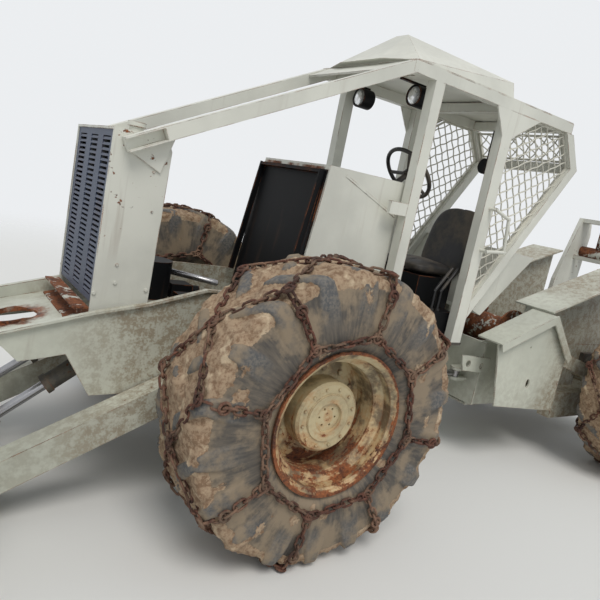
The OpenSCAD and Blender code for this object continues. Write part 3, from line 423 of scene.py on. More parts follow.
def grouped(tree, group, inputs):
    """Adds a node group with its inputs, and returns its outputs by name."""
    node = tree.nodes.new("ShaderNodeGroup")
    node.node_tree = group
    return {socket.name: Value(socket) for socket in fed(tree, node, inputs).outputs}


def from_wheel(p):
    """The distance from the nearer axle, seen from the side: the root of (x - axle)^2 + (z - its height)^2."""
    x, _, z = axes_of(p)
    fore, aft = maths("ABSOLUTE", x - SHIFT), maths("ABSOLUTE", x - (SHIFT - WHEELBASE))
    x = maths("POWER", maths("MINIMUM", fore, aft), 2.0)
    z = maths("POWER", maths("ABSOLUTE", z - AXLE_Z), 2.0)
    return maths("SQRT", x + z)


def weathering():
    """Chips, rain streaks, dirt and the stain round the wheels, from the machine's own coordinates."""
    def build(t, given):
        p = here(t)
        broad, fine, speck = noise(p, 1.7, 5), noise(p, 22.0, 6, 0.62), noise(p, 95.0, 3, 0.5)
        edge = 0.74 - given["Chips"] * 0.2
        chips = spread(fine * 0.6 + broad * 0.4, edge, edge + 0.03)
        round_n = made_by(t, "ShaderNodeBevel", {"Radius": 0.008}, "Normal", samples=4)
        flat_n = made_by(t, "ShaderNodeNewGeometry", {}, "Normal")
        dot = made_by(t, "ShaderNodeVectorMath", {0: round_n, 1: flat_n}, "Value", operation="DOT_PRODUCT")
        corner = spread((1.0 - dot) + fine * 0.12, 0.085, 0.15)
        corner = corner * (given["Edges"] * spread(noise(p, 7.0, 3), 0.4, 0.6))
        streak = spread(noise(scaled(p, (17.0, 17.0, 1.1)), 1.0, 4, 0.6), 0.56, 0.72)
        streak = streak * spread(broad, 0.42, 0.6) * given["Streaks"]
        splashed = spread(axes_of(p)[2], given["Splash height"], 0.15) * spread(fine, 0.36, 0.6)
        lying = spread(axes_of(flat_n)[2], 0.3, 0.95) * spread(fine, 0.42, 0.64, 0.0, 0.45)
        dirt = maths("MAXIMUM", splashed, lying) * given["Dirt"]
        clots = spread(fine * 0.6 + speck * 0.4, 0.42, 0.58, 0.3, 1.0)
        stain = spread(from_wheel(p) + (broad - 0.5) * 0.9, 1.16, 0.74) * clots * given["Stain"]
        worn = maths("MAXIMUM", chips, corner, True)
        return {"Worn": worn, "Streak": streak, "Dirt": dirt, "Stain": stain, "Blotch": broad,
                "Height": speck * 0.15 - worn * 0.8}
    takes = {"Chips": 0.5, "Edges": 1.0, "Streaks": 0.5, "Dirt": 0.5, "Splash height": 1.2, "Stain": 0.0}
    gives = ("Worn", "Streak", "Dirt", "Stain", "Blotch", "Height")
    return effect("Weathering", [(key, "NodeSocketFloat", value) for key, value in takes.items()],
                  [(key, "NodeSocketFloat") for key in gives], build)


def rusting():
    """Rust: two browns mixed by noise, with darker pits, and the height of its scale."""
    def build(t, given):
        p = here(t)
        patch, grain = noise(p, 9.0, 8, 0.7), noise(p, 60.0, 5, 0.65)
        c = blended(spread(patch * 0.6 + grain * 0.4, 0.38, 0.64), given["Dark"], given["Light"])
        pits = spread(noise(p, 130.0, 3), 0.52, 0.68)
        return {"Colour": blended(pits * 0.55, c, (0.02, 0.012, 0.009, 1)), "Height": grain + pits * -0.6}
    return effect("Rusting", [("Dark", "NodeSocketColor", (0.05, 0.02, 0.01, 1)),
                              ("Light", "NodeSocketColor", (0.3, 0.1, 0.03, 1))],
                  [("Colour", "NodeSocketColor"), ("Height", "NodeSocketFloat")], build)


def rust_on(t, look, light=None):
    """The Rusting group's outputs, in the user's two rust colours or in one colour and half of it."""
    light, dark = (look.rust_light, look.rust_dark) if light is None else (light, [c * 0.5 for c in light])
    return grouped(t, rusting(), {"Dark": linear(dark), "Light": linear(light)})


def new_material(name):
    """Makes a material and returns its tree and its Principled shader."""
    m = bpy.data.materials.new(PREFIX + name)
    m.use_nodes = True
    return m.node_tree, m.node_tree.nodes["Principled BSDF"]


def old_paint(name, rgb, look, chips=0.5, edges=1.0, streaks=0.5, dirt=0.5, splash=1.2, rough=0.5,
              tint=(0.50, 0.46, 0.39), stain=0.0, spots=(), shine=0.5):
    """Paint chipped to rust, with rain streaks, dust where water and mud reach it, and rust round given spots.

    A spot is (x, y, z, reach) in metres of the packed frame: rust fades out by noise between 0.7 and 1.1 times
    its reach.
    """
    t, b = new_material(name)
    w = grouped(t, weathering(), {"Chips": chips * (0.6 + look.wear * 0.8), "Edges": edges, "Streaks": streaks,
                                  "Dirt": dirt, "Splash height": splash, "Stain": stain})
    rust = rust_on(t, look)["Colour"]
    base = linear(rgb)
    c = blended(spread(w["Blotch"], 0.35, 0.65), lit(base, 0.88), lit(base, 1.06))
    c = blended(w["Streak"] * 0.55, c, linear([0.45, 0.33, 0.24]))
    c = blended(w["Dirt"] * 0.75, c, linear(tint))
    c = blended(w["Stain"], c, linear([0.53, 0.465, 0.37]))
    c = blended(w["Worn"], c, rust)
    for x, y, z, reach in spots:
        p = here(t)
        far = made_by(t, "ShaderNodeVectorMath", {0: p, 1: (x, y, z)}, "Value", operation="DISTANCE")
        ragged = (noise(p, 16.0, 5, 0.65) - 0.5) * 1.2
        c = blended(spread(far / reach + ragged, 1.1, 0.7), c, rust)
    fed(t, b, {"Base Color": c, "Roughness": spread(w["Worn"] + w["Dirt"], 0, 1, rough, 0.88),
               "Normal": bump(w["Height"], 0.35, 0.004), "Specular IOR Level": shine})


def rusty_steel(name, look, paint=None, left=0.0, mud=0.0, light=None):
    """Bare rusted steel, with what is left of its paint in patches and mud where that is caked on."""
    t, b = new_material(name)
    rust, p = rust_on(t, look, light), here(t)
    c = rust["Colour"]
    if paint is not None:
        c = blended(spread(noise(p, 11.0, 7, 0.68), 0.62 - left * 0.3, 0.66 - left * 0.3), c, linear(paint))
    if mud:
        c = blended(spread(noise(p, 6.0, 6, 0.7), 0.45, 0.6) * mud, c, linear(look.mud))
    fed(t, b, {"Base Color": c, "Roughness": 0.85, "Normal": bump(rust["Height"], 0.6, 0.003)})


def rusted_rim(look):
    """Cream paint on the wheels, rusted through on the flange and the lower half, with grime and painted shade
    in the well.
    """
    t, b = new_material("rim_paint")
    w = grouped(t, weathering(), {"Edges": 0.8, "Streaks": 0.6, "Splash height": 0.9})
    p = here(t)
    x, y, z = axes_of(p)
    out = from_wheel(p)
    bias = spread(z, AXLE_Z + 0.20, AXLE_Z - 0.32) * 0.13 + spread(out, 0.336, 0.352) * 0.20
    bias = bias - spread(out, 0.20, 0.165) * 0.05
    rings = made_by(t, "ShaderNodeCombineXYZ", {"X": out * 34.0, "Y": y * 34.0, "Z": x * 7.0})
    eaten = noise(p, 13.0, 8, 0.7) * 0.55 + noise(rings, 1.0, 6, 0.65) * 0.45 + bias
    patch = spread(eaten, 0.585, 0.64)
    base = linear(look.rim)
    c = blended(spread(w["Blotch"], 0.4, 0.62), base, lit(base, 0.80))
    c = blended(spread(eaten, 0.47, 0.62, 0.0, 0.75), c, linear([0.70, 0.53, 0.35]))
    # Dirt and painted shade: the disc darkens by noise towards the rim's well, where shade falls inside the rim
    grime_and_painted_shade = spread(noise(p, 7.0, 6, 0.65), 0.47, 0.62) * spread(out, 0.12, 0.26, 0.25, 0.85)
    c = blended(grime_and_painted_shade, c, linear([0.36, 0.30, 0.235]))
    c = blended(w["Streak"] * 0.6, c, linear([0.47, 0.34, 0.23]))
    c = blended(maths("MAXIMUM", patch, w["Worn"] * 0.8), c, rust_on(t, look)["Colour"])
    fed(t, b, {"Base Color": c, "Roughness": spread(patch, 0, 1, 0.55, 0.9),
               "Normal": bump(w["Height"] - patch * 0.5, 0.4, 0.004)})


def plain_worn(name, rgb, rough, metal=0.0, dust=0.35, grain=240.0, depth=0.2):
    """A moulded or rolled surface with fine grain and uneven dust."""
    t, b = new_material(name)
    p = here(t)
    dusty = spread(noise(p, 5.0, 6, 0.65), 0.4, 0.68) * dust
    fed(t, b, {"Base Color": blended(dusty, linear(rgb), linear([0.50, 0.45, 0.38])),
               "Roughness": maths("ADD", dusty * 0.5, rough, True), "Metallic": metal,
               "Normal": bump(noise(p, grain, 3), depth, 0.002)})


def caked_rubber(look):
    """Weathered rubber: streaked sidewalls, blue-grey worn lug tops and dried mud where the mask says."""
    t, b = new_material("caked_rubber")
    p = here(t)
    mud, top = (made_by(t, "ShaderNodeAttribute", {}, "Fac", attribute_name=key) for key in ("mud", "worn_top"))
    uv = made_by(t, "ShaderNodeUVMap", {}, "UV", uv_map="UVMap")
    streak = noise(scaled(uv, (150.0, 9.0, 0.0)), 1.0, 4, 0.6)
    blotch, fine, clods = noise(p, 5.5, 6, 0.62), noise(p, 70.0, 5, 0.6), noise(p, 38.0, 7, 0.7)
    c = blended(spread(streak, 0.22, 0.80), linear(look.rubber), linear([0.42, 0.385, 0.34]))
    c = blended(spread(blotch + (streak - 0.5) * 0.14, 0.42, 0.60), c, linear([0.53, 0.47, 0.39]))
    worn = blended(spread(fine, 0.4, 0.6), linear([0.32, 0.33, 0.345]), linear([0.46, 0.445, 0.42]))
    c = blended(top * spread(blotch, 0.62, 0.40, 0.0, 0.75), c, worn)
    soil = blended(spread(clods, 0.38, 0.6), linear([0.50, 0.40, 0.31]), linear(look.mud))
    soil = blended(spread(noise(p, 14.0, 4), 0.55, 0.7), soil, linear([0.77, 0.69, 0.58]))
    edge = spread(mud + (fine - 0.5) * 0.8, 0.4, 0.55)
    fed(t, b, {"Base Color": blended(edge, c, soil), "Roughness": spread(edge, 0, 1, 0.72, 0.95),
               "Normal": bump(streak * 0.3 + edge * (clods * 2.2), 0.55, 0.008)})


def clear_glass(name):
    """Lamp glass with a dusty film."""
    t, b = new_material(name)
    film = spread(noise(here(t), 30.0, 4), 0.35, 0.7)
    fed(t, b, {"Base Color": blended(film, linear([0.80, 0.82, 0.84]), linear([0.62, 0.60, 0.56])),
               "Roughness": spread(film, 0, 1, 0.06, 0.35), "Transmission Weight": 0.55, "IOR": 1.45})


def finishes():
    """Every finish by its name, made once from the user's colours."""
    if PREFIX + "caked_rubber" not in bpy.data.materials:
        make_finishes(bpy.context.scene.skidder_finish)
    return {m.name[len(PREFIX):]: m for m in bpy.data.materials if m.name.startswith(PREFIX)}


def make_finishes(look):
    """Makes every finish from the user's colours."""
    old_paint("body_paint", look.body, look)
    old_paint("hull_paint", [look.body[0] * 0.96, look.body[1] * 0.97, look.body[2] * 0.95], look, chips=0.42,
              streaks=0.4, dirt=0.45, splash=1.1, stain=0.8, spots=[(SHIFT + 1.21, 0, 0.86, 0.17)])
    old_paint("cab_paint", [c * 1.03 for c in look.body], look, chips=0.40, streaks=0.3, dirt=0.2, splash=0.9)
    old_paint("grille_paint", look.grille, look, chips=0.3, edges=0.2, streaks=0.25, dirt=0.25)
    old_paint("black_paint", look.black, look, chips=0.3, streaks=0.2, dirt=0.2, tint=(0.26, 0.24, 0.22),
              shine=0.15)
    rusted_rim(look)
    old_paint("screen_paint", look.screen, look, chips=0.35, edges=0.0, streaks=0.3, dirt=0.25)
    old_paint("grimy_steel", (0.27, 0.26, 0.24), look, chips=0.6, streaks=0.5, dirt=0.8, rough=0.65)
    rusty_steel("bare_rust", look, paint=look.body, left=0.25)
    rusty_steel("chain_rust", look, mud=0.3, light=look.chain)
    plain_worn("chrome", (0.62, 0.62, 0.63), 0.22, metal=1.0, dust=0.2)
    plain_worn("moulded_black", (0.05, 0.05, 0.055), 0.45)
    plain_worn("seat_vinyl", (0.085, 0.085, 0.095), 0.5, grain=420.0, depth=0.35)
    clear_glass("lamp_glass")
    caked_rubber(look)


# Which finish each CAD node takes
NODE_FINISH = {
    "hull_paint": ["front_hull", "rear_hull", "push_frame", "blade", "side_boxes", "rear_deck"],
    "body_paint": ["radiator_guard", "guard_cap", "arch", "rear_tank"],
    "cab_paint": ["canopy_rails", "canopy_roof", "cab_posts", "rear_guard", "cowl", "grab_handle"],
    "grille_paint": ["radiator_grille"],
    "black_paint": ["bay_cylinder", "bulkhead", "headlamps", "seat_base"],
    "bare_rust": ["foot_channel", "winch_drum", "fairlead_rollers"],
    "grimy_steel": ["cab_floor", "front_axle", "rear_axle", "transmission", "hinge_pins", "arm_pins",
                    "winch_frame", "lift_barrels", "steer_barrel_left", "steer_barrel_right"],
    "chrome": ["lift_rods", "steer_rod_left", "steer_rod_right"],
    "moulded_black": ["steering_wheel", "control_levers"],
    "rim_paint": ["rim_" + c for c in CORNERS],
    "seat_vinyl": ["seat_cushion", "seat_backrest"],
    "screen_paint": ["side_screen_left", "side_screen_right", "rear_screen"],
    "caked_rubber": ["tyre_" + c for c in CORNERS],
    "chain_rust": ["chain_" + c for c in CORNERS],
}


class SKIDDER_OT_stage(bpy.types.Operator):
    """Camera at the photograph's place, pale floor and soft light"""
    bl_idname = "skidder.stage"
    bl_label = "Stage"

    def execute(self, context):
        setup = context.scene.skidder_stage
        cam = bpy.data.cameras.new("camera")
        cam.sensor_width = 36
        cam.lens = setup.lens
        cam.clip_end = 200
        ob = bpy.data.objects.new("camera", cam)
        context.scene.collection.objects.link(ob)
        ahead, up = Vector((-0.57235, -0.80152, -0.17317)), Vector((0.06236, -0.25312, 0.96542))
        turn = Matrix((ahead.cross(up).normalized(), up, -ahead)).transposed().to_4x4()
        stands_at = Vector((3.0636, 3.1511, 1.7268))
        ob.matrix_world = Matrix.Translation(stands_at) @ turn
        context.scene.camera = ob

        t, b = new_material("studio_floor")
        fed(t, b, {"Base Color": linear([0.86, 0.86, 0.85]), "Roughness": 0.9})
        far = made_by(t, "ShaderNodeVectorMath", {0: here(t)}, "Value", operation="LENGTH")
        clear = made_by(t, "ShaderNodeBsdfTransparent", {})
        seen_from, gone_from, reach = 5.5, 13.0, 60
        faded = made_by(t, "ShaderNodeMixShader", {0: spread(far, seen_from, gone_from), 1: Value(b.outputs[0]),
                                                   2: clear})
        fed(t, t.nodes["Material Output"], {0: faded})
        me = bpy.data.meshes.new("floor")
        me.from_pydata([(-reach, -reach, 0), (reach, -reach, 0), (reach, reach, 0), (-reach, reach, 0)], [],
                       [(0, 1, 2, 3)])
        me.materials.append(bpy.data.materials[PREFIX + "studio_floor"])
        ground = bpy.data.objects.new("floor", me)
        context.scene.collection.objects.link(ground)

        world = bpy.data.worlds.new("studio")
        world.use_nodes = True
        t = world.node_tree
        rays = t.nodes.new("ShaderNodeLightPath").outputs
        seen = maths("MAXIMUM", Value(rays["Is Camera Ray"]), Value(rays["Is Glossy Ray"]))
        light = made_by(t, "ShaderNodeBackground", {"Color": (0.92, 0.96, 1.0, 1), "Strength": setup.sky})
        back = made_by(t, "ShaderNodeBackground", {"Color": (0.90, 0.92, 0.94, 1), "Strength": 0.93})
        fed(t, t.nodes["World Output"], {0: made_by(t, "ShaderNodeMixShader", {0: seen, 1: light, 2: back})})
        context.scene.world = world

        lamp = bpy.data.lights.new("softbox", "SUN")
        lamp.energy = setup.lamp
        lamp.angle = math.radians(28)
        lamp.color = (1.0, 0.97, 0.93)
        ob = bpy.data.objects.new("softbox", lamp)
        ob.rotation_euler = (math.radians(-32), math.radians(14), 0)
        context.scene.collection.objects.link(ob)
        context.scene.view_settings.view_transform = "Standard"
        return {"FINISHED"}


class SKIDDER_OT_paintwork(bpy.types.Operator):
    """Finishes of the panels, frames, axles and cylinders that keep their own shape"""
    bl_idname = "skidder.paintwork"
    bl_label = "Paintwork"

    def execute(self, context):
        made = finishes()
        for name, nodes in NODE_FINISH.items():
            for node in nodes:
                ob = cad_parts[node]
                ob.data.materials.clear()
                ob.data.materials.append(made[name])
        return {"FINISHED"}


# Outlines across the tyre in millimetres, from bead to crown: [half width, radius] of the casing and over a lug
CASING = np.array([[206, 334], [212, 360], [234, 395], [240, 440], [240, 500], [236, 560], [230, 610],
                   [222, 650], [206, 680], [170, 694], [110, 698], [50, 700], [0, 700]], float)
OVER_LUG = np.array([[206, 334], [212, 360], [234, 395], [240, 440], [241, 500], [242, 560], [242, 615],
                     [238, 665], [228, 706], [196, 723], [126, 727], [54, 729], [0, 729]], float)
# In millimetres: the casing's radius at the crown, half the width that a lug runs over, and the chain's bore
CROWN_R, LUG_END, UNDER_CHAIN = 700, 216, 733
LUG_SLANT = math.radians(38)
# Points round the tyre and over it
AROUND, OVER = 504, 76


def outline(points, n):
    """A closed half outline mirrored to the other side and resampled at n even steps of its length."""
    full = np.concatenate([points, points[-2::-1] * [-1, 1]])
    s = np.concatenate([[0], np.cumsum(np.linalg.norm(np.diff(full, axis=0), axis=1))])
    u = np.linspace(0, 1, n) * s[-1]
    return np.stack([np.interp(u, s, full[:, 0]), np.interp(u, s, full[:, 1])], 1)


def tyre_surface(wheels, side, seed):
    """The tyre about its own hub: casing outline + mask * (lug outline - casing outline), carried round.

    A lug's mask is 1 where the distance across its slanting middle line is under half its width. The line
    starts at the shoulder and leans round the tyre towards the crown. Mud fills the space between by noise.
    """
    low, high = outline(CASING, OVER), outline(OVER_LUG, OVER)
    radius = low[None, :, 1]
    th = angles(AROUND)[:, None]
    y = (low[None, :, 0] + high[None, :, 0]) / 2
    t = np.maximum(LUG_END - np.abs(y), 0) / math.cos(LUG_SLANT)
    lean = t * math.sin(LUG_SLANT) / CROWN_R
    pitch = 2 * np.pi / wheels.lugs
    turn = (th - lean - np.where(y >= 0, 0.5, 0) * pitch) / pitch
    across = (turn - np.round(turn)) * pitch * CROWN_R * math.cos(LUG_SLANT)
    half = wheels.lug_width * 500 + 16 * step(690, 560, radius)
    shape = (AROUND, OVER)
    p = np.stack([np.cos(th) * radius, np.sin(th) * radius, np.broadcast_to(y * side, shape)], -1) / 1000
    rough, lumps = cloudy(p, 9.0, seed), cloudy(p, 34.0, seed + 9, 5)
    mask = step(half + 10, half - 9, np.abs(across) + (rough - 0.5) * 14)
    mask = mask * step(2, 22, np.abs(y)) * step(470, 600, radius)
    tread = step(630, 676, radius)
    fill = np.clip(0.62 + (rough - 0.5) * 1.5, 0, 1) * tread
    pos = low[None] + np.maximum(mask, fill * 0.92)[..., None] * (high - low)[None]
    mud = tread * (1 - mask) * 1.3 + tread * step(0.50, 0.62, rough) + step(0.64, 0.74, rough) * 0.6
    mud = np.clip(mud, 0, 1)
    grow = (lumps - 0.62) * 26 * mud * tread + (rough - 0.5) * 5
    normal = unit(np.gradient(low, axis=0)[:, ::-1] * [1, -1])
    normal = normal * np.where(np.sum(normal * (low - [0, 500]), 1) > 0, 1, -1)[:, None]
    pos = pos + grow[..., None] * normal[None] * np.clip((radius[..., None] - 380) / 60, 0, 1)
    r = np.minimum(pos[..., 1], UNDER_CHAIN)
    out = np.stack([np.cos(th) * r, pos[..., 0] * side, -np.sin(th) * r], -1) / 1000
    out[..., 2] = np.maximum(out[..., 2], -AXLE_Z + 0.001)
    u, v = np.broadcast_to(th / (2 * np.pi), shape), np.broadcast_to(np.linspace(0, 1, OVER)[None], shape)
    faces = facing([grid_faces(AROUND, OVER, wrap_u=True)], side)
    return out, faces, np.stack([u, v], -1), {"mud": mud, "worn_top": mask}


class SKIDDER_OT_tyres(bpy.types.Operator):
    """Worn tyres with mud between their lugs"""
    bl_idname = "skidder.tyres"
    bl_label = "Tyres"

    def execute(self, context):
        for k, (corner, (x, side)) in enumerate(CORNERS.items()):
            p, f, uv, masks = tyre_surface(context.scene.skidder_wheels, side, 11 + k)
            p = p + hub_of(x, side)
            piece("tyre_worn_" + corner, p, f, "wheel_" + corner, "caked_rubber", ["tyre_" + corner],
                  uv, masks)
        return {"FINISHED"}


def chain_link(pitch, wire):
    """A closed link: a wire round two half circles with straight sides, longer than its pitch by two wires."""
    half = pitch / 2 + wire * 0.55
    end = wire * 1.28
    n, sides = 12, 5
    a = angles(n) + np.pi / n
    line = np.stack([np.cos(a) * end + np.sign(np.cos(a)) * (half - end), np.sin(a) * end, np.zeros(n)], -1)
    along = unit(np.roll(line, -1, 0) - np.roll(line, 1, 0))
    across = np.cross(along, [0, 0, 1])
    return wound(line, across, np.array([0, 0, 1]), wire, sides)


def wound(line, across, over, wire, sides):
    """A closed wire: each point of the line plus half the wire times cos b across and sin b over it."""
    b = angles(sides)[:, None]
    p = line[:, None] + wire / 2 * (np.cos(b) * across[:, None] + np.sin(b) * over)
    return p.reshape(-1, 3), [grid_faces(len(line), sides, wrap_u=True, wrap_v=True)]


def ring_of(radius, wire, n=16):
    """A ring of wire in the plane across its first axis."""
    a = angles(n)
    c = np.stack([np.zeros(n), np.cos(a), np.sin(a)], -1)
    return wound(c * radius, c, np.array([1.0, 0, 0]), wire, 6)


# Where the chain net's knots sit, in millimetres: [radius, distance from the wheel's middle plane]
TREAD, SHOULDER, INNER = (734, 196), (640, 252), (440, 252)


def net_runs(spokes=8):
    """The chain net's straight runs about the hub, as pairs of points, and its knots with where they face."""
    turn = 2 * np.pi / spokes
    runs, knots = [], []

    def on(a, at, side):
        return np.array([at[0] * math.cos(a), at[1] * side, at[0] * math.sin(a)]) / 1000
    for k in range(spokes):
        a = math.radians(270 + 90 / spokes) + k * turn
        crown = on(a + turn / 2, TREAD, 0)
        for s in (-1, 1):
            tread, shoulder, inner = on(a, TREAD, s), on(a, SHOULDER, s), on(a, INNER, s)
            runs += [(inner, on(a + turn, INNER, s)), (inner, shoulder), (shoulder, tread), (tread, crown),
                     (tread, on(a - turn / 2, TREAD, 0))]
            knots += [(inner, (0, s, 0)), (shoulder, (0, s, 0)), (tread, tread * [1, 0, 1])]
        knots.append((crown, crown))
    return runs, knots


def chain_net(wheels, seed):
    """Links along every run, turned about it one way and the other in turn, with rings at the knots."""
    wall, roll_one, roll_other, uneven = 0.25, 0.42, -1.15, 0.13
    rng = np.random.default_rng(seed)
    places = []
    runs, knots = net_runs()
    for p, q in runs:
        d = q - p
        n = max(2, round(np.linalg.norm(d) / wheels.link_pitch))
        mid = p + d * (np.arange(n)[:, None] + 0.5) / n
        on_wall = abs(p[1]) > wall and abs(q[1]) > wall
        place = frames(mid, d, np.array([0, np.sign(p[1]), 0]) if on_wall else mid * [1, 0, 1])
        roll = np.where(np.arange(n) % 2 == 0, roll_one, roll_other) + rng.normal(0, uneven, n)
        c, s = np.cos(roll)[:, None], np.sin(roll)[:, None]
        y, z = place[:, :, 1].copy(), place[:, :, 2].copy()
        place[:, :, 1], place[:, :, 2] = c * y + s * z, c * z - s * y
        places.append(place)
    links = repeated(*chain_link(wheels.link_pitch, wheels.link_wire), np.concatenate(places))
    at_knots = np.concatenate([frames(p, out, (0.3, 0.2, 1)) for p, out in knots])
    return joined([links, repeated(*ring_of(0.024, wheels.link_wire * 1.15), at_knots)])


class SKIDDER_OT_chains(bpy.types.Operator):
    """Rusty chain nets of real links over the tyres"""
    bl_idname = "skidder.chains"
    bl_label = "Tyre chains"

    def execute(self, context):
        for k, (corner, (x, side)) in enumerate(CORNERS.items()):
            p, f = chain_net(context.scene.skidder_wheels, 40 + k)
            p = p * [1, side, 1] + hub_of(x, side)
            p[:, 2] = np.maximum(p[:, 2], 0.0005)
            piece("chain_net_" + corner, p, facing(f, side), "wheel_" + corner, "chain_rust",
                  ["chain_" + corner])
        return {"FINISHED"}


def clipped(middle, direction, corners):
    """Where a line through middle enters and leaves a convex outline: its least and greatest crossings."""
    hits = []
    for a, b in zip(corners, np.roll(corners, -1, 0)):
        e = b - a
        k = direction[0] * e[1] - direction[1] * e[0]
        if abs(k) > 1e-9:
            t = ((a[0] - middle[0]) * e[1] - (a[1] - middle[1]) * e[0]) / k
            u = np.dot(middle + t * direction - a, e) / np.dot(e, e)
            if 0 <= u <= 1:
                hits.append(t)
    return (min(hits), max(hits)) if len(hits) > 1 else None


def crimped_wires(corners, middle, lean, screens):
    """Two sets of wires clipped to an outline, each waved across by crimp / 2 * cos(pi * s / pitch).

    Each set lies off the plane by a little under half a wire, with a smaller wave over and under the other.
    """
    reach, shortest, per_pitch = 18, 0.03, 4
    parts = []
    for k in (0, 1):
        turn = math.radians(lean + k * 90)
        d = np.array([math.cos(turn), math.sin(turn)])
        across = np.array([-d[1], d[0]])
        for i in range(-reach, reach + 1):
            q = middle + i * screens.pitch * across
            span = clipped(q, d, corners)
            if span is None or span[1] - span[0] < shortest:
                continue
            n = max(4, int((span[1] - span[0]) / (screens.pitch / per_pitch)))
            s = np.linspace(span[0], span[1], n)
            phase = np.pi * s / screens.pitch
            wave = np.cos(phase) * (-1) ** i
            flat = q + s[:, None] * d + 0.5 * screens.crimp * wave[:, None] * across
            lift = (0.45 if k else -0.45) * screens.wire + 0.35 * screens.crimp * np.cos(phase + i)
            path = np.stack([flat[:, 0], lift, flat[:, 1]], -1)
            parts.append(tubes(path[None], screens.wire / 2, 5, (0, 1, 0.01)))
    return joined(parts)


def flat_frame(corners, width, thick):
    """A flat bar bent round an outline: its corners, and these drawn in by width along their bisectors."""
    c = np.asarray(corners, float)
    u = unit(c - np.roll(c, 1, 0))
    v = unit(np.roll(c, -1, 0) - c)
    nu, nv = np.stack([u[:, 1], -u[:, 0]], 1), np.stack([v[:, 1], -v[:, 0]], 1)
    into = c + width * (nu + nv) / (1 + np.sum(nu * nv, 1, keepdims=True))
    ring = np.stack([np.stack([q[:, 0], np.full(len(c), h), q[:, 1]], -1) for q, h in
                     ((c, -thick), (c, thick), (into, thick), (into, -thick))], 1)
    return ring.reshape(-1, 3), [grid_faces(len(c), 4, wrap_u=True, wrap_v=True)]


class SKIDDER_OT_screens(bpy.types.Operator):
    """Crimped wire screens in their flat frames"""
    bl_idname = "skidder.screens"
    bl_label = "Screens"

    def execute(self, context):
        screens = context.scene.skidder_screens
        bar = (0.014, 0.006)
        side, middle = hull_of(cad_points("side_screen_left")[:, [0, 2]]), np.array([SHIFT - 1.94, 1.98])
        for name, s in (("left", 1), ("right", -1)):
            p, f = joined([crimped_wires(side, middle, 62, screens), flat_frame(side, *bar)])
            low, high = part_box("side_screen_" + name)
            p = p * [1, s, 1] + np.array([0, (low[1] + high[1]) / 2, 0])
            piece("wire_screen_" + name, p, facing(f, s), "front_frame", "screen_paint",
                  ["side_screen_" + name], smooth=False)
        (_, right, _), (_, left, _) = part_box("rear_screen")
        rise = math.radians(LEAN)
        up = np.array([math.sin(rise), 0, math.cos(rise)])
        off = np.array([-math.cos(rise), 0, math.sin(rise)])
        q = cad_points("rear_screen")
        foot, top = (q @ up).min(), (q @ up).max()
        back = np.array([[left, foot], [right, foot], [right, top], [left, top]])
        middle = np.array([0.0, (foot + top) / 2])
        p, f = joined([crimped_wires(back, middle, 45, screens), flat_frame(back, *bar)])
        depth = ((q @ off).min() + (q @ off).max()) / 2
        p = p[:, :1] * [0, 1, 0] + p[:, 2:] * up + (depth + p[:, 1:2]) * off
        piece("wire_screen_rear", p, f, "front_frame", "screen_paint", ["rear_screen"], smooth=False)
        return {"FINISHED"}


def blocks(low, high, lean=0.0):
    """Boxes between rows of low and high corners, whose upper edges lean back by a length."""
    low, high = np.atleast_2d(low), np.atleast_2d(high)
    pick = np.array([[i & 1, i >> 1 & 1, i >> 2 & 1] for i in range(8)])
    points = low[:, None] + (high - low)[:, None] * pick - lean * pick[:, 2:] * [1, 0, 0]
    faces = np.array([[0, 2, 3, 1], [4, 5, 7, 6], [0, 1, 5, 4], [2, 6, 7, 3], [0, 4, 6, 2], [1, 3, 7, 5]])
    return points.reshape(-1, 3), [(faces + 8 * np.arange(len(low))[:, None, None]).reshape(-1, 4)]


class SKIDDER_OT_grille(bpy.types.Operator):
    """Grille of smooth strips and columns of louvred slots, with a black sheet behind it as painted shade in
    the slots
    """
    bl_idname = "skidder.grille"
    bl_label = "Grille"

    def execute(self, context):
        screens = context.scene.skidder_screens
        low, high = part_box("radiator_grille")
        margin, sheet, proud, deep, lean = 0.03, 0.006, 0.001, 0.010, 0.004
        front, half = high[0] - 0.002, screens.grille_slot / 2
        foot, top = low[2] + margin, high[2] - margin
        pitch, rise = (high[1] - low[1]) / screens.grille_columns, (top - foot) / screens.grille_slots
        middles = low[1] + (np.arange(screens.grille_columns) + 0.5) * pitch
        sides = [low[1], *np.stack([middles - half, middles + half], 1).ravel(), high[1]]
        strips = blocks([[front - sheet, y, low[2]] for y in sides[::2]],
                        [[front, y, high[2]] for y in sides[1::2]])
        ends = blocks([[front - sheet, y - half, z] for y in middles for z in (low[2], top)],
                      [[front, y + half, z] for y in middles for z in (foot, high[2])])
        at = [(y, foot + (j + 0.25) * rise) for y in middles for j in range(screens.grille_slots)]
        rungs = blocks([[front - deep, y - half, z] for y, z in at],
                       [[front + proud, y + half, z + rise * 0.5] for y, z in at], lean)
        p, f = joined([strips, ends, rungs])
        piece("slotted_grille", p, f, "front_frame", "grille_paint", ["radiator_grille"], smooth=False)
        # A thin black sheet at the back of the grille's box: painted shade seen through the slots
        p, f = blocks([low[0] + 0.001, *low[1:]], [low[0] + 0.004, *high[1:]])
        piece("radiator_core", p, f, "front_frame", "black_paint", smooth=False)
        return {"FINISHED"}


class SKIDDER_OT_bay_rod(bpy.types.Operator):
    """Plated rod of the cylinder in the engine bay"""
    bl_idname = "skidder.bay_rod"
    bl_label = "Bay rod"

    def execute(self, context):
        rod, above_box, radius = placed([[505, -40, 0], [92, -40, 0]]), np.array([0.1677, 0.1053]), 0.0175
        rod[:, 2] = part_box("bay_cylinder")[0][2] + above_box
        p, f = tubes([rod], radius, sides=16)
        piece("bay_rod_plating", p, f, "front_frame", "chrome")
        return {"FINISHED"}


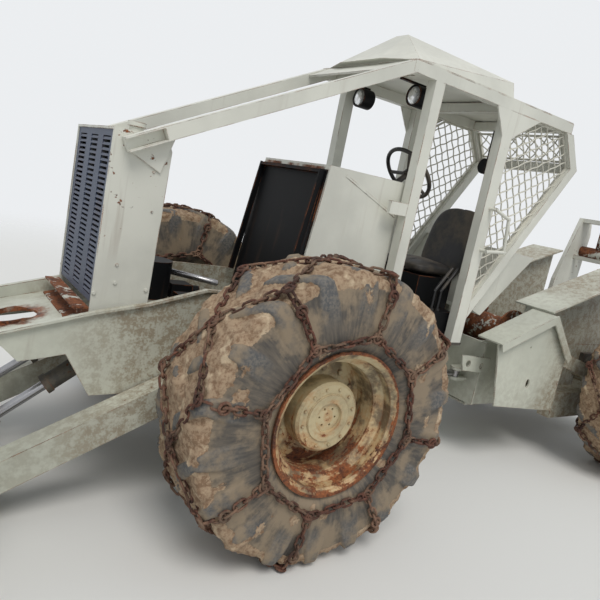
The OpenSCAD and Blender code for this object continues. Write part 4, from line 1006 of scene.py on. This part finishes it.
def cushion(low, high, crown, seams):
    """A closed pad: a box outline rounded by a superellipse, crowned in the middle, with channels at its seams.

    Point (u, v) lies at the middle plus half the size times (cos u cos v, sin u cos v, sin v), each raised to
    about 1/2 with its sign kept. Towards its edges the top falls by crown * (1 - cos(1.4 x) * cos(1.4 y)), and
    at each seam it dips by seam_depth * exp(-(distance / seam_width) ** 2).
    """
    nu, nv, seam_width, seam_depth, fall = 96, 49, 0.006, 0.008, 1.4
    u = angles(nu)[:, None]
    v = np.linspace(-np.pi / 2, np.pi / 2, nv)[None]

    def soft(a, k):
        return np.sign(a) * np.abs(a) ** k
    x, y = soft(np.cos(u), 0.42) * soft(np.cos(v), 0.5), soft(np.sin(u), 0.42) * soft(np.cos(v), 0.5)
    z = soft(np.sin(v) + 0 * u, 0.62)
    low, high = np.array(low), np.array(high)
    size = (high - low) / 2
    dip = sum(np.exp(-((y - s) * size[1] / seam_width) ** 2) for s in seams)
    p = (low + high) / 2 + np.stack([x, y, z], -1) * size
    bulge = crown * (np.cos(x * fall) * np.cos(y * fall) - 1)
    p[..., 2] += np.clip(z, 0, 1) * (bulge - seam_depth * dip)
    return p.reshape(-1, 3), [grid_faces(nu, nv, wrap_u=True)]


class SKIDDER_OT_seat(bpy.types.Operator):
    """Cracked vinyl cushion and backrest"""
    bl_idname = "skidder.seat"
    bl_label = "Seat"

    def execute(self, context):
        seams, thick, lean = (-0.4, 0.0, 0.4), 0.085, 0.245
        for node, crown in (("seat_cushion", 0.03), ("seat_backrest", 0.02)):
            low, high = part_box(node)
            upright = node == "seat_backrest"
            if upright:
                low = (high[0] - thick, low[1], low[2])
            p, f = cushion(low, high, crown, seams)
            if upright:
                p[:, 0] -= lean * (p[:, 2] - low[2])
            piece("vinyl_" + node, p, f, "front_frame", "seat_vinyl", [node])
        return {"FINISHED"}


# Rings of twelve bolts on a wheel: bolt size, ring radius and distance outwards in metres, and turn in radians
WHEEL_RINGS = ((0.017, 0.212, 0.020, 0.0), (0.0085, 0.143, 0.1315, 0.26))


class SKIDDER_OT_wheel_bolts(bpy.types.Operator):
    """Rings of bolts on the hub covers and nuts on the wheel discs"""
    bl_idname = "skidder.wheel_bolts"
    bl_label = "Wheel bolts"

    def execute(self, context):
        for corner, (x, s) in CORNERS.items():
            parts = []
            for size, radius, out, turn in WHEEL_RINGS:
                a = angles(12) + turn
                around = np.stack([np.cos(a), 0 * a, np.sin(a)], -1)
                at = hub_of(x, s) + around * radius + [0, s * out, 0]
                parts.append(repeated(*hex_bolt(size), frames(at, (0, s, 0), around)))
            p, f = joined(parts)
            piece("wheel_bolts_" + corner, p, f, "wheel_" + corner, "rim_paint", smooth=False)
        return {"FINISHED"}


# Bolts on both sides of the guard, in millimetres from the front axle: where they are, and their size
GUARD_BOLTS = (((832, 339, 1223), 8), ((829, 339, 1135), 10), ((670, 339, 1109), 10), ((720, 339, 1690), 7),
               ((700, 339, 1500), 6), ((923, 339, 1079), 11))


class SKIDDER_OT_panel_bolts(bpy.types.Operator):
    """Bolts through both sides of the radiator guard"""
    bl_idname = "skidder.panel_bolts"
    bl_label = "Panel bolts"

    def execute(self, context):
        p, f = joined([repeated(*hex_bolt(size / 1000), frames(placed(at) * [1, s, 1], (0, s, 0), (0.5, 0, 1)))
                       for at, size in GUARD_BOLTS for s in (1, -1)])
        piece("panel_bolts", p, f, "front_frame", "body_paint", smooth=False)
        return {"FINISHED"}


class SKIDDER_OT_lamp_glass(bpy.types.Operator):
    """Glass in the two head lamps and the rear work lamp"""
    bl_idname = "skidder.lamp_glass"
    bl_label = "Lamp glass"

    def execute(self, context):
        lens, faces = turned([[0.0, 0.0], [0.0, 0.0565], [0.006, 0.0565], [0.012, 0.046], [0.016, 0.028],
                              [0.0175, 0.0]], 32)
        low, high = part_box("headlamps")
        below_top, work_below_top, inset = 0.076, 0.290, 0.010
        head = placed([[-871, y, 0] for y in (-272, 272)])
        head[:, 2] = high[2] - below_top
        work = np.array([[low[0] + inset, -0.2, high[2] - work_below_top]])
        p, f = joined([repeated(lens, faces, frames(head, (1, 0, 0), (0, 0, 1))),
                       repeated(lens * 0.93, faces, frames(work, (-1, 0, 0), (0, 0, 1)))])
        piece("lamp_glasses", p, f, "front_frame", "lamp_glass")
        return {"FINISHED"}


OPERATORS = (SKIDDER_OT_stage, SKIDDER_OT_paintwork, SKIDDER_OT_tyres, SKIDDER_OT_chains, SKIDDER_OT_screens,
             SKIDDER_OT_grille, SKIDDER_OT_bay_rod, SKIDDER_OT_seat, SKIDDER_OT_wheel_bolts,
             SKIDDER_OT_panel_bolts, SKIDDER_OT_lamp_glass)


class SKIDDER_PT_panel(bpy.types.Panel):
    """Lists the machine's pieces and their sizes"""
    bl_idname = "SKIDDER_PT_panel"
    bl_label = "Skidder"
    bl_space_type = "VIEW_3D"
    bl_region_type = "UI"
    bl_category = "Skidder"

    def draw(self, context):
        for name, group in GROUPS.items():
            box = self.layout.box()
            box.label(text=group.__doc__)
            for key in group.__annotations__:
                box.prop(getattr(context.scene, name), key)
        for op in OPERATORS:
            self.layout.operator(op.bl_idname)


GROUPS = {"skidder_finish": SkidderFinish, "skidder_wheels": SkidderWheels, "skidder_screens": SkidderScreens,
          "skidder_stage": SkidderStage}
CLASSES = (*GROUPS.values(), *OPERATORS, SKIDDER_PT_panel)


def register():
    """Makes the settings, the operators and the panel known."""
    for cls in CLASSES:
        bpy.utils.register_class(cls)
    for key, group in GROUPS.items():
        setattr(bpy.types.Scene, key, bpy.props.PointerProperty(type=group))


def unregister():
    """Takes away what register made."""
    for key in GROUPS:
        delattr(bpy.types.Scene, key)
    for cls in reversed(CLASSES):
        bpy.utils.unregister_class(cls)


def main():
    register()
    for op in OPERATORS:
        family, name = op.bl_idname.split(".")
        getattr(getattr(bpy.ops, family), name)()


if __name__ == "__main__":
    main()
